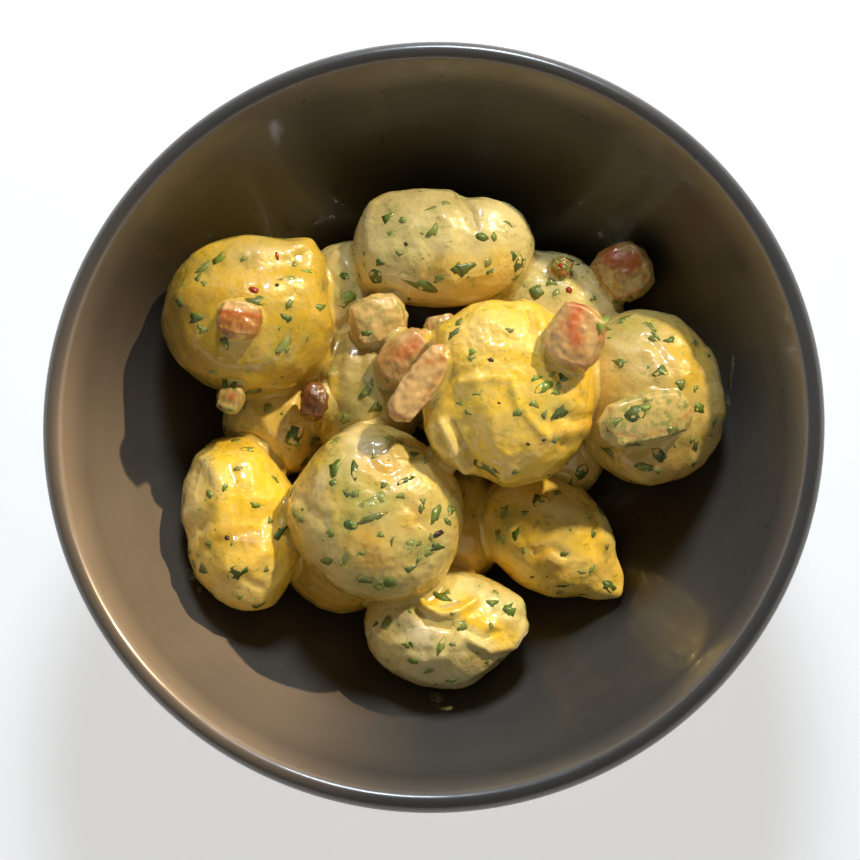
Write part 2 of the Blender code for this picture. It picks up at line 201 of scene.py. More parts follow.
slope = math.radians(bowl["slope"])
slopeOut, slopeUp = math.cos(slope), math.sin(slope)
lipInside = (bowl["rim"] - bowl["wall"] / 2 * (1 + slopeUp), bowl["tall"] - bowl["wall"] / 2 * (1 - slopeOut))
straightWall = (lipInside[1] - bowl["floor"] - bowl["curve"] * (1 - slopeOut)) / slopeUp
floorRadius = lipInside[0] - straightWall * slopeOut - bowl["curve"] * slopeUp


def bowlGap(points):      # how far each point stands off the bowl's inside, negative in the wall
    out = np.maximum(np.hypot(points[:, 0], points[:, 1]) - floorRadius, 0)
    down = bowl["floor"] + bowl["curve"] - points[:, 2]
    toCurve = bowl["curve"] - np.hypot(out, down)
    toWall = bowl["curve"] - (out * slopeUp + down * slopeOut)
    return np.where(np.arctan2(out, down) > slope, toWall, toCurve)


def keptOff(points, least):      # lifts what stands nearer than this to the bowl's inside
    radius = np.maximum(np.hypot(points[:, 0], points[:, 1]), 1e-9)
    out = np.maximum(radius - floorRadius, 0)
    angle = np.minimum(np.arctan2(out, bowl["floor"] + bowl["curve"] - points[:, 2]), slope)
    inward = -np.sin(angle)
    ways = np.stack((inward * points[:, 0] / radius, inward * points[:, 1] / radius, np.cos(angle)), axis=1)
    return points + ways * np.maximum(least - bowlGap(points), 0)[:, None]


def glazeLook():
    look = Look("taupeGlaze", {"Specular IOR Level": 0.5, "Coat Roughness": 0.07})
    height = look.node("SeparateXYZ", {}, {0: look.place()}, output=2)
    bare = look.step(height, 0.9 * mm, 0.5 * mm)      # no glaze on the foot ring
    grains = look.node("TexVoronoi", {}, {"Vector": look.place(), "Scale": 1 / (1.3 * mm)})
    cloud = look.noise(22 * mm, detail=2, rough=0.6)
    rings = look.noise(2.4 * mm, detail=2, stretch=(0.04, 0.04, 1), seed=0.3)
    rough = look.noise(5 * mm, detail=1, seed=1.1)
    ripple = look.noise(9 * mm, detail=2, seed=2.2)
    [lip] = look.attributes("lip")
    colour = look.layers(bowl["glaze"], (look.step(cloud, 0.35, 0.7) * 0.4, bowl["cloudy"]),
                         (look.step(rings, 0.4, 0.7) * 0.18, bowl["ringed"]),
                         (look.step(grains, 0.1, 0.03) * 0.35, bowl["speckle"]),
                         (lip * 0.85, bowl["thinGlaze"]), (bare, bowl["clay"]))
    return look.paint({"Base Color": colour, "Roughness": 0.24 + rough * 0.12 + bare * 0.4,
                       "Coat Weight": 0.5 - bare * 0.5,
                       "Normal": look.bump(ripple + rings * 0.3, 0.25 * mm, 0.6)})


def asMesh(shape):
    mesh = bpy.data.meshes.new("shape")
    shape.to_mesh(mesh)
    shape.free()
    return mesh


def spun(section, sides, merge):      # a section turned once round the upright axis
    shape = bmesh.new()
    points = [shape.verts.new(point) for point in section]
    edges = [shape.edges.new(pair) for pair in zip(points, points[1:])]
    bmesh.ops.spin(shape, geom=points + edges, cent=(0, 0, 0), axis=(0, 0, 1), angle=math.tau,
                   steps=sides, use_merge=True, use_duplicate=False)
    bmesh.ops.remove_doubles(shape, verts=shape.verts[:], dist=merge)
    bmesh.ops.recalc_face_normals(shape, faces=shape.faces[:])
    return shape


def rowsOf(items, key, width, kind=float):      # what the vertices, edges or faces of a mesh hold
    flat = np.empty(len(items) * width, dtype=kind)
    items.foreach_get(key, flat)
    return flat.reshape(-1, width)


def placesOf(mesh):
    return rowsOf(mesh.vertices, "co", 3)


def edgesOf(mesh):
    return rowsOf(mesh.edges, "vertices", 2, np.int32)


def move(mesh, places):
    mesh.vertices.foreach_set("co", places.ravel())
    mesh.update()


def addNumbers(piece, name, numbers):
    layer = piece.data.attributes.new(name, "FLOAT", "POINT")
    layer.data.foreach_set("value", np.ascontiguousarray(numbers, dtype=np.float32))


def addPiece(name, mesh, material):
    mesh.name = name
    mesh.materials.clear()
    mesh.materials.append(material)
    mesh.shade_smooth()
    piece = addObject(name, mesh)
    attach(piece, "root")
    return piece


def makeBowl():
    curveCentre = Vector((floorRadius, 0, bowl["floor"] + bowl["curve"]))
    lipCentre = Vector((bowl["rim"] - bowl["wall"] / 2, 0, bowl["tall"] - bowl["wall"] / 2))
    thick = bowl["curve"] + bowl["wall"]
    footStart = math.asin((bowl["footRadius"] - floorRadius) / thick)

    def arc(centre, radius, start, end, steps):
        return [centre + radius * Vector((math.sin(a), 0, -math.cos(a))) for a in np.linspace(start, end, steps)]

    outside, edge = bowl["footRadius"], bowl["footEdge"]
    inside = outside - bowl["footWidth"]
    foot = [(outside, edge), (outside - edge, 0), (inside + edge, 0), (inside, edge),
            (inside - edge, bowl["recess"]), (0, bowl["recess"])]
    section = [Vector((r, 0, bowl["floor"])) for r in (0, *bowl["floorRings"])]
    section += arc(curveCentre, bowl["curve"], 0, slope, bowl["curveSteps"])
    section += arc(lipCentre, bowl["wall"] / 2, math.radians(bowl["slope"] + 180), slope, bowl["lipSteps"])
    section += arc(curveCentre, thick, slope, footStart, bowl["curveSteps"])
    section += [Vector((r, 0, z)) for r, z in foot]
    piece = addPiece("stonewareBowl", asMesh(spun(section, bowl["sides"], bowl["merge"])), glazeLook())
    places = placesOf(piece.data)
    fromRim = bowl["rim"] - np.hypot(places[:, 0], places[:, 1])
    lip = np.zeros(len(places))
    for inset, width, lowest, strength in bowl["lipBands"]:
        lip += strength * np.exp(-((fromRim - inset) / width) ** 2) * (places[:, 2] > lowest)
    addNumbers(piece, "lip", np.clip(lip, 0, 1))
    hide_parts("bowl")
    return piece


stoneware = makeBowl()
print("bowl turned")


# Even blocks of quads, blown up into lumps; one is kept for each fineness
lattices = {}


def lattice(cuts):
    if cuts not in lattices:
        block = bmesh.new()
        bmesh.ops.create_cube(block, size=2)
        bmesh.ops.subdivide_edges(block, edges=block.edges[:], cuts=cuts, use_grid_fill=True)
        mesh = asMesh(block)
        quads = rowsOf(mesh.polygons, "vertices", 4, np.int32)
        lattices[cuts] = (mesh, edgesOf(mesh), quads, np.tan(placesOf(mesh) * math.pi / 4))
    return lattices[cuts]


def smoothed(values, edges, passes):      # each value drawn halfway to the mean of its neighbours
    one, other = edges[:, 0], edges[:, 1]
    count = np.bincount(edges.ravel(), minlength=len(values))
    for _ in range(passes):
        total = np.bincount(one, values[other], len(values)) + np.bincount(other, values[one], len(values))
        values = values / 2 + total / count / 2
    return values


def smoothedPlaces(places, edges, passes):
    return np.stack([smoothed(places[:, axis], edges, passes) for axis in range(3)], axis=1)


def normalsOf(places, quads):
    across = places[quads[:, 2]] - places[quads[:, 0]]
    along = places[quads[:, 3]] - places[quads[:, 1]]
    faceWays = np.cross(across, along)
    total = np.zeros_like(places)
    for corner in range(4):
        for axis in range(3):
            total[:, axis] += np.bincount(quads[:, corner], faceWays[:, axis], len(places))
    return total / np.maximum(np.linalg.norm(total, axis=1), 1e-15)[:, None]


def treeOf(mesh):
    return BVHTree.FromPolygons([v.co for v in mesh.vertices], [p.vertices for p in mesh.polygons])


def finderOf(places):
    finder = KDTree(len(places))
    for index, place in enumerate(places):
        finder.insert(place, index)
    finder.balance()
    return finder


def middleOf(mesh):      # centre of the volume
    corners = rowsOf(mesh.polygons, "vertices", 3, np.int32)
    a, b, c = (placesOf(mesh)[corners[:, k]] for k in range(3))
    volume = np.einsum("ij,ij->i", a, np.cross(b, c))
    return ((a + b + c) * volume[:, None]).sum(axis=0) / (4 * volume.sum())


def skinOf(node, cuts, passes):      # fine even skin over a solid, its facets smoothed away
    mesh, edges, quads, ways = lattice(cuts)
    tree = treeOf(cadNodes[node].data)
    middle = middleOf(cadNodes[node].data)
    low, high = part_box(node)
    ways = ways * np.array(high - low)
    ways = ways / np.linalg.norm(ways, axis=1)[:, None]
    outside = 40 * mm      # rays start beyond any of the food's solids
    depths = np.empty(len(ways))
    for index, way in enumerate(ways):
        way = Vector(way)
        hit = tree.ray_cast(Vector(middle) + way * outside, -way)
        depths[index] = outside - hit[3] if hit[0] else 0
    places = middle + ways * smoothed(depths, edges, passes)[:, None]
    return mesh.copy(), places, edges, normalsOf(places, quads)


def smoothStep(values, low, high):
    share = np.clip((values - low) / (high - low), 0, 1)
    return share * share * (3 - 2 * share)


def strokeShare(pixels, width, line):      # 1 on a line drawn over the picture, falling off to its sides
    ends = np.array(line, dtype=float)
    nearest = np.linalg.norm(pixels - ends[0], axis=1)
    for start, end in zip(ends, ends[1:]):
        run = end - start
        share = np.clip(((pixels - start) @ run) / (run @ run), 0, 1)
        nearest = np.minimum(nearest, np.linalg.norm(pixels - start - share[:, None] * run, axis=1))
    return np.exp(-(nearest / width) ** 2)


def facingShare(ways, low, high):      # 1 where the picture shows a surface, 0 round its back
    return smoothStep(ways @ np.array(lookBack), low, high)


def addShares(piece, base, strokes, pixels, facing):      # how much of each kind lies on the surface
    for kind, everywhere in base.items():
        share = np.zeros(len(pixels)) + everywhere
        for width, strength, *line in strokes.get(kind, []):
            share += strokeShare(pixels, width, line) * facing * strength
        addNumbers(piece, kind, np.clip(share, 0, 1))


def roughness(places, size, seed, octaves=2):
    shift = Vector((seed * 3.7, seed * 1.9, seed * 5.3))
    return np.array([noise.fractal(Vector(p) / size + shift, 0.8, 2.1, octaves) for p in places])


def folds(places, size, seed):      # thin curved ridges, as where sauce ran and set
    shift = Vector((seed * 2.3, seed * 4.1, seed * 1.7))
    rises = []
    for place in places:
        at = Vector(place) / size + shift
        rises.append(1 - 3.2 * abs(noise.noise(at + noise.noise_vector(at * 0.8) * 0.9)))
    return np.clip(rises, 0, 1) ** 2


# The gnocchi. Ridges and creases are drawn on the picture: width in pixels, height in mm, then the line.
# Patches of each kind of colour: width in pixels, strength, then the line.
# Brown patches are partly golden sauce and partly painted shade in creases and on the low pieces.
# Pale patches are partly the cream sauce's own colour and partly painted highlight on the glints and lit tops.
# The paintedShade values and patches are painted shade: darker sauce where pieces lie in shade.
gnocchi = {
    "gnocco_left_top": {"cuts": 78, "yellow": 1.0, "paintedShade": 0.55, "swell": 0.35, "lumps": 0.1, "lines": [(8, 0.6,
      (228, 256), (250, 250), (285, 250), (308, 244)), (10, -0.7, (208, 276), (240, 270), (272, 268), (300, 262)),
      (14, 0.5, (222, 296), (254, 298), (284, 290), (306, 282)), (9, 0.5, (316, 256), (328, 290), (330, 325)), (12,
      0.4, (200, 345), (240, 368), (290, 362))], "patches": {"brown": [(22, 0.8, (178, 300), (182, 330),
      (202, 362)), (10, 0.5, (206, 292), (240, 294))], "paintedShade": [(13, 0.45, (172, 300), (178, 340))], "pale": [(12,
      0.5, (235, 254), (290, 249)), (10, 0.3, (205, 272))], "herb": [(16, 0.35, (284, 348)), (10, 0.5,
      (262, 236))]}},
    "gnocco_back": {"cuts": 78, "yellow": 0.1, "swell": 0.4, "lumps": 0.08, "lines": [(5, -0.8, (460, 196),
      (470, 212), (474, 226)), (8, 0.5, (440, 210), (452, 228), (448, 246)), (9, 0.5, (485, 206), (500, 215),
      (512, 232)), (7, -0.35, (425, 238), (434, 262), (428, 280)), (6, 0.35, (372, 205), (366, 225), (370, 250))],
      "patches": {"paintedShade": [(24, 0.55, (385, 205), (420, 200), (475, 200))], "brown": [(9, 0.8, (362, 198),
      (378, 190)), (14, 0.4, (380, 290), (430, 300), (500, 280))], "yellow": [(20, 0.45, (440, 272), (500, 262))],
      "pale": [(14, 0.5, (492, 208), (508, 222)), (10, 0.5, (448, 240))], "herb": [(20, 0.25, (400, 240))]}},
    "gnocco_crown": {"cuts": 84, "yellow": 0.78, "swell": 0.4, "lumps": 0.16, "curds": (480, 335, 34, 0.22),
      "lines": [(5, 1.3, (443, 424), (450, 440), (459, 460), (472, 482)), (4, -1.0, (452, 424), (462, 444),
      (472, 462)), (5, 0.9, (433, 428), (438, 444), (446, 453)), (4, -0.6, (440, 428), (448, 448)), (6, 0.8,
      (520, 302), (538, 310), (542, 326)), (5, -0.5, (528, 312), (534, 330)), (6, 0.6, (576, 372), (590, 402),
      (588, 432)), (9, 0.9, (560, 434), (580, 428)), (5, 0.45, (461, 382), (490, 378), (511, 380), (518, 404),
      (534, 424), (547, 437)), (8, 0.6, (566, 399), (578, 408)), (5, -0.5, (556, 412), (572, 420), (590, 416)), (6,
      -0.5, (552, 424), (562, 444)), (5, 0.5, (470, 470), (500, 480), (540, 474))], "patches": {"pale": [(24, 0.45,
      (480, 335)), (9, 0.6, (444, 426), (458, 458), (470, 480)), (45, 0.12, (490, 395))], "brown": [(10, 0.55,
      (446, 352), (444, 392)), (10, 0.45, (560, 432), (582, 428)), (12, 0.3, (480, 474), (530, 472)), (20, 0.3,
      (590, 420))], "herb": [(14, 0.5, (548, 398), (562, 410))], "yellow": [(12, 0.5, (578, 360), (590, 400)), (14,
      0.4, (450, 340), (470, 310))]}},
    "gnocco_right": {"cuts": 82, "yellow": 0.4, "paintedShade": 0.36, "swell": 0.5, "lumps": 0.1, "lines": [(6, 0.6,
      (706, 352), (718, 382), (722, 412)), (5, -0.5, (696, 356), (706, 384), (708, 410)), (7, 0.5, (604, 342),
      (625, 352), (648, 350)), (6, -0.4, (648, 340), (668, 362), (678, 390)), (6, -0.6, (596, 446), (618, 456),
      (650, 446), (690, 412)), (9, 0.5, (606, 466), (650, 474), (690, 458)), (7, 0.4, (664, 326), (690, 340))],
      "patches": {"herb": [(22, 0.55, (612, 326), (640, 318)), (14, 0.5, (636, 414), (612, 426))], "pale": [(22,
      0.5, (625, 358), (655, 372)), (9, 0.6, (720, 366), (724, 390))], "brown": [(24, 0.6, (620, 462), (672, 462)),
      (12, 0.3, (700, 380), (704, 430))], "yellow": [(20, 0.4, (680, 350), (690, 375))]}},
    "gnocco_left": {"cuts": 76, "yellow": 0.75, "swell": 0.35, "lumps": 0.12, "lines": [(8, 0.7, (196, 456),
      (212, 466), (221, 486), (221, 512), (210, 540)), (8, -0.3, (230, 470), (236, 490), (234, 516)), (7, -0.7,
      (208, 546), (232, 534), (258, 532)), (8, 0.5, (228, 570), (250, 566), (266, 552)), (6, -0.4, (246, 580),
      (262, 590)), (8, 0.4, (206, 580), (226, 600), (250, 606))], "patches": {"pale": [(16, 0.6, (194, 480),
      (194, 520)), (14, 0.6, (226, 586), (256, 590)), (6, 0.5, (206, 462), (221, 494))], "yellow": [(18, 0.7,
      (246, 470), (262, 520))], "brown": [(11, 0.7, (222, 534), (256, 536)), (8, 0.3, (262, 556), (276, 520))],
      "paintedShade": [(7, 0.75, (222, 538), (250, 541))]}},
    "gnocco_front_left": {"cuts": 82, "yellow": 0.45, "paintedShade": 0.26, "swell": 0.35, "lumps": 0.2, "lines": [(8, 0.6,
      (330, 446), (356, 438), (392, 444)), (8, 0.4, (352, 512), (380, 506), (396, 496)), (6, -0.4, (300, 500),
      (322, 520), (330, 548)), (8, 0.5, (300, 456), (292, 486), (298, 516)), (7, 0.4, (430, 488), (450, 516),
      (448, 548)), (6, -0.4, (404, 500), (420, 522)), (7, 0.4, (398, 580), (420, 570), (440, 556)), (6, -0.35,
      (362, 460), (382, 474), (398, 470))], "patches": {"pale": [(22, 0.6, (350, 450)), (10, 0.4, (356, 438),
      (378, 452))], "brown": [(13, 0.9, (374, 466), (394, 464)), (18, 0.9, (366, 534), (372, 562)), (14, 0.6,
      (412, 520), (426, 512)), (12, 0.45, (304, 488), (300, 470))], "herb": [(16, 0.7, (338, 464), (352, 490)), (18,
      0.7, (350, 520), (384, 504)), (14, 0.7, (360, 580), (388, 582)), (14, 0.6, (414, 546), (438, 548)), (14, 0.5,
      (436, 512), (450, 510)), (12, 0.5, (380, 440), (414, 454))], "yellow": [(14, 0.5, (310, 452), (330, 446))]}},
    "gnocco_front": {"cuts": 74, "yellow": 0.28, "swell": 0.45, "lumps": 0.14, "lines": [(5, 1.3, (417, 592),
      (424, 606), (442, 615), (458, 612), (474, 602)), (6, -0.8, (412, 606), (426, 622), (448, 626)), (5, 1.0,
      (470, 640), (490, 651), (512, 644), (526, 624)), (6, -0.6, (466, 628), (484, 636), (506, 632)), (6, 0.5,
      (410, 656), (426, 662), (440, 656)), (6, -0.4, (424, 676), (446, 668)), (7, 0.4, (480, 590), (500, 600),
      (518, 606))], "patches": {"potato": [(17, 0.95, (408, 624), (424, 634)), (20, 0.5, (420, 686), (470, 682))],
      "yellow": [(12, 0.8, (430, 604), (462, 606)), (10, 0.6, (476, 618), (504, 634))], "pale": [(8, 0.6,
      (412, 660), (436, 660))], "herb": [(12, 0.6, (498, 606), (512, 608)), (10, 0.4, (388, 624))], "brown": [(8,
      0.4, (480, 660), (500, 652))]}},
    "gnocco_front_right": {"cuts": 76, "yellow": 0.62, "swell": 0.4, "lumps": 0.13, "lines": [(8, 0.6, (542, 502),
      (562, 506), (580, 516)), (6, 0.5, (532, 566), (546, 556), (560, 562)), (5, -0.5, (536, 552), (552, 548),
      (566, 556)), (6, -0.5, (594, 540), (606, 560), (612, 580)), (5, 0.6, (604, 520), (616, 546), (624, 574),
      (631, 592)), (6, -0.35, (512, 520), (522, 536)), (8, 0.35, (560, 580), (590, 590), (616, 594))], "patches":
      {"herb": [(13, 0.6, (498, 536), (512, 516)), (8, 0.4, (602, 510), (618, 540))], "pale": [(15, 0.5, (552, 508),
      (574, 514)), (7, 0.6, (604, 516), (618, 546))], "brown": [(12, 0.55, (546, 560), (560, 572)), (10, 0.4,
      (600, 566), (612, 580))], "yellow": [(16, 0.4, (590, 530))]}},
    "gnocco_back_right": {"cuts": 60, "yellow": 0.15, "swell": 0.4, "lumps": 0.14, "lines": [(7, 0.5, (536, 262),
      (556, 270), (570, 286)), (6, -0.5, (572, 270), (584, 286))], "patches": {"herb": [(18, 0.5, (540, 284),
      (556, 280))], "yellow": [(12, 0.3, (584, 280))]}},
    "gnocco_middle_left": {"cuts": 60, "yellow": 0.35, "paintedShade": 0.8, "swell": 0.5, "lumps": 0.16, "lines": [(5, 0.9,
      (332, 376), (330, 402), (324, 430)), (5, -0.6, (322, 384), (318, 412)), (6, 0.5, (350, 340), (346, 372)), (6,
      -0.4, (362, 360), (358, 400))], "patches": {"yellow": [(9, 0.7, (332, 384), (326, 426))], "herb": [(20, 0.5,
      (366, 396), (350, 416))], "brown": [(12, 0.4, (310, 384), (304, 424))]}},
    "gnocco_left_low": {"cuts": 56, "yellow": 0.5, "paintedShade": 0.15, "swell": 0.4, "lumps": 0.14, "lines": [(6, 0.5,
      (236, 396), (256, 410), (270, 430))], "patches": {"herb": [(14, 0.6, (226, 402), (240, 396))], "brown": [(16,
      0.3, (280, 400), (284, 440))]}},
    "gnocco_back_left": {"cuts": 56, "yellow": 0.2, "paintedShade": 0.35, "swell": 0.4, "lumps": 0.14, "lines": [(6, 0.4,
      (322, 262), (340, 256), (350, 268))], "patches": {"herb": [(14, 0.6, (346, 290), (344, 276))]}},
    "gnocco_low_middle": {"cuts": 44, "yellow": 0.8, "paintedShade": 0.55, "swell": 0.4, "lumps": 0.12, "patches": {"brown":
      [(60, 0.6, (480, 540))]}},
    "gnocco_low_right": {"cuts": 44, "yellow": 0.4, "paintedShade": 0.5, "swell": 0.4, "lumps": 0.12, "patches": {"brown":
      [(40, 0.4, (580, 470))]}},
    "gnocco_low_front": {"cuts": 44, "yellow": 0.8, "paintedShade": 0.55, "swell": 0.4, "lumps": 0.12, "patches": {"brown":
      [(60, 0.8, (330, 590))]}},
    "gnocco_core": {"cuts": 44, "yellow": 0.3, "swell": 0.4, "lumps": 0.12},
}
relief = {"swell": 9 * mm, "lump": 3.2 * mm, "lumpHeight": 1.1, "fold": 9 * mm, "foldHeight": 0.05 * mm,
          "fine": 1.3 * mm, "fineHeight": 0.025 * mm, "curd": 0.9 * mm, "offBowl": 0.12 * mm,
          "passes": 18, "passesAt": 70, "paintedShadeYellow": 0.5, "paintedShadeBrown": 0.3}


def makeGnocco(node, plan, seed, material):
    passes = int(relief["passes"] * (plan["cuts"] / relief["passesAt"]) ** 2)
    mesh, places, edges, ways = skinOf(node, plan["cuts"], passes)
    pixels, facing = toPixels(places), facingShare(ways, 0.0, 0.35)
    rise = roughness(places, relief["swell"], seed) * plan["swell"] * mm
    rise += roughness(places, relief["lump"], seed + 5) * plan["lumps"] * relief["lumpHeight"] * mm
    rise += folds(places, relief["fold"], seed + 7) * relief["foldHeight"]
    rise += roughness(places, relief["fine"], seed + 9, octaves=3) * relief["fineHeight"]
    for width, tall, *line in plan.get("lines", []):
        rise += strokeShare(pixels, width, line) * facing * tall * mm
    if "curds" in plan:
        x, y, width, tall = plan["curds"]
        curds = roughness(places, relief["curd"], 3, octaves=3)
        rise += strokeShare(pixels, width, [(x, y)]) * facing * curds * tall * mm
    places = keptOff(places + ways * rise[:, None], relief["offBowl"])
    move(mesh, places)
    piece = addPiece(node.replace("gnocco_", "dumpling_"), mesh, material)
    paintedUnderShade = smoothStep(-ways[:, 2], -0.5, 0.35)      # painted shade: the lower sides are made more golden and browner, as where they lie in shade
    base = {"yellow": plan["yellow"] + paintedUnderShade * relief["paintedShadeYellow"], "pale": 0, "potato": 0,
            "brown": paintedUnderShade * relief["paintedShadeBrown"], "herb": 0, "paintedShade": plan.get("paintedShade", 0)}
    addShares(piece, base, plan.get("patches", {}), pixels, facing)
    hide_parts(node)
    return piece


def sauceLook():
    look = Look("creamSauce", {"Specular IOR Level": 0.5, "Coat Roughness": 0.055, "Coat IOR": 1.45})
    yellow, pale, potato, brown, herb, paintedShade = look.attributes("yellow", "pale", "potato", "brown", "herb", "paintedShade")
    cloud = look.noise(7 * mm, rough=0.55)
    streak = look.noise(2.6 * mm, rough=0.6, distortion=0.6, seed=4.1)
    grain = look.noise(0.7 * mm, detail=2, rough=0.6, seed=6.3)
    ripple = look.noise(1.6 * mm, detail=2, distortion=0.4, seed=7.9)
    thick = look.step(yellow + cloud * 0.8 - 0.4, 0.1, 0.9)
    colour = look.layers((0.8, 0.68, 0.32), (thick, (0.97, 0.63, 0.045)),
                         (look.step(streak, 0.4, 0.7) * 0.35, (0.84, 0.66, 0.27)),
                         (look.step(ripple, 0.52, 0.75) * 0.3, (0.5, 0.34, 0.08)),
                         # pale: cream sauce, and painted highlight where its patches sit on the glints
                         (pale * 0.8, (0.86, 0.74, 0.42)), (potato * 0.9, (0.74, 0.67, 0.5)),
                         # brown: golden sauce, partly painted shade in creases, on low pieces and on the lower sides
                         (brown * (0.5 + streak * 0.5), (0.74, 0.38, 0.05)),
                         # painted shade: the paintedShade share darkens the sauce in hollows, in creases and on the
                         # low pieces
                         (paintedShade * (0.55 + cloud * 0.4), (0.22, 0.14, 0.025)),
                         (herb * (0.3 + cloud * 0.6), (0.3, 0.36, 0.11)))
    # Fine herb in the sauce, in two sizes
    for size, low, high, share, seed in ((1.0 * mm, 0.61, 0.69, 0.45, 1.7), (2.2 * mm, 0.58, 0.7, 0.4, 9.4)):
        smudge = look.noise(size, detail=2, rough=0.65, distortion=0.5, seed=seed)
        cover = look.step(smudge, low, high) * look.step(cloud, 0.38, 0.6) * share
        colour = look.layers(colour, (cover, (0.13, 0.19, 0.035)))
    return look.paint({"Base Color": colour, "Roughness": 0.26 + look.step(streak, 0.3, 0.7) * 0.18,
                       "Coat Weight": 0.65 + look.step(cloud, 0.4, 0.65) * 0.35,
                       "Normal": look.bump(ripple + grain * 0.3, 0.35 * mm, 0.42)})


creamSauce = sauceLook()
dumplings = {}
for number, (node, plan) in enumerate(gnocchi.items()):
    dumplings[node] = makeGnocco(node, plan, number, creamSauce)
    "yellow_gnocchi" if plan["yellow"] > 0.4 else "pale_gnocchi"
print("gnocchi:", len(dumplings))


# The bacon. Lean streaks, fat and browned edges are drawn on the picture: width in pixels, strength, line.
bacon = {
    "bacon_left_top": {"fat": 0.2, "sauced": 0.25, "strokes": {"lean": [(2.5, 0.8, (212, 312), (240, 313),
      (268, 317))], "browned": [(14, 0.9, (240, 322))], "fat": [(8, 0.8, (226, 302), (252, 304)), (8, 0.5,
      (240, 336))]}},
    "bacon_notch": {"fat": 0.8, "sauced": 0.5, "strokes": {"fat": [(14, 0.8, (372, 296), (396, 300))], "browned":
      [(5, 0.9, (354, 322), (362, 336)), (5, 0.8, (396, 320), (384, 330))]}},
    "bacon_chunk": {"fat": 0.5, "sauced": 0.42, "strokes": {"browned": [(6, 0.8, (378, 372), (392, 350))], "lean":
      [(7, 0.6, (400, 354), (416, 344))]}},
    "bacon_strip": {"fat": 0.7, "sauced": 0.15, "strokes": {"browned": [(4, 1.0, (388, 414), (404, 418)), (4, 0.9,
      (426, 362), (448, 358)), (3, 0.7, (440, 372), (424, 400))]}},
    "bacon_cube": {"fat": 0.6, "sauced": 0.3, "strokes": {"lean": [(8, 1.0, (578, 308), (572, 326), (576, 340))],
      "browned": [(14, 0.6, (580, 362)), (5, 1.0, (600, 330), (604, 352), (590, 370)), (4, 0.9, (560, 368),
      (586, 374))], "fat": [(7, 0.7, (556, 352), (566, 362)), (4, 0.6, (590, 344), (596, 352))]}},
    "bacon_slab": {"fat": 0.5, "sauced": 1.0, "strokes": {"lean": [(3, 0.7, (604, 430), (640, 438), (672, 428),
      (694, 408))], "browned": [(5, 0.9, (604, 430), (640, 438), (694, 408)), (3, 0.9, (626, 386), (668, 394))]}},
    # charAndShade on the back and dark lardons is partly char and partly painted shade, where they lie in shade in a
    # dark gap between the gnocchi
    "bacon_back": {"fat": 0.2, "sauced": 0.5, "strokes": {"charAndShade": [(40, 0.4, (622, 268))], "lean": [(10, 0.6,
      (612, 256), (632, 262))]}},
    "bacon_dark": {"fat": 0.0, "sauced": 0.0, "strokes": {"browned": [(30, 1.0, (314, 404))], "charAndShade": [(30, 0.9,
      (314, 404))]}},
    "bacon_left_edge": {"fat": 0.4, "sauced": 0.6, "strokes": {"lean": [(6, 0.5, (232, 398))]}},
    "bacon_behind": {"fat": 0.4, "sauced": 0.5},
    "bacon_speck": {"fat": 0.2, "sauced": 0.2},
}


fry = {"cuts": 36, "passes": 1, "lump": 2.8 * mm, "lumpHeight": 0.42, "fine": 1.4 * mm, "fineHeight": 0.05,
       "sauceSmooths": 0.6, "edge": 0.35 * mm, "edgePasses": 20, "edgeFrom": 0.35, "edgeBrown": 0.8, "edgeBare": 0.5}


def baconLook():
    look = Look("cookedBacon", {"Coat Roughness": 0.06, "Coat IOR": 1.45})
    fat, lean, browned, charAndShade, sauced = look.attributes("fat", "lean", "browned", "charAndShade", "sauced")
    band = look.noise(2.6 * mm, rough=0.55, distortion=0.8, seed=2.0)
    fibre = look.noise(0.5 * mm, rough=0.6, stretch=(1, 0.35, 1), seed=5.0)
    coat = look.noise(2.2 * mm, rough=0.6, distortion=0.5, seed=9.0)
    herb = look.noise(1.8 * mm, rough=0.6, seed=3.5)
    covered = look.step(sauced + coat * 0.8 - 0.4 - lean * 0.7, 0.25, 0.75)
    colour = look.layers((0.36, 0.13, 0.035), (look.step(fat + band * 0.7 - 0.35, 0.2, 0.8), (0.74, 0.49, 0.22)),
                         (look.step(fibre, 0.4, 0.7) * 0.4, (0.84, 0.46, 0.13)),
                         (lean * (0.55 + fibre * 0.45), (0.62, 0.1, 0.018)),
                         # near-black charAndShade: partly char, partly painted shade
                         (browned * (0.45 + band * 0.5), (0.46, 0.15, 0.022)), (charAndShade, (0.06, 0.022, 0.008)),
                         (covered * 0.85, (0.66, 0.52, 0.19)),
                         (covered * look.step(herb, 0.44, 0.62) * 0.75, (0.24, 0.3, 0.09)))
    return look.paint({"Base Color": colour, "Roughness": 0.28 + band * 0.2,
                       "Coat Weight": (0.6 + look.step(band, 0.4, 0.6) * 0.4) * (1.0 - charAndShade * 0.7),
                       "Normal": look.bump(fibre + band * 0.5, 0.25 * mm, 0.35)})


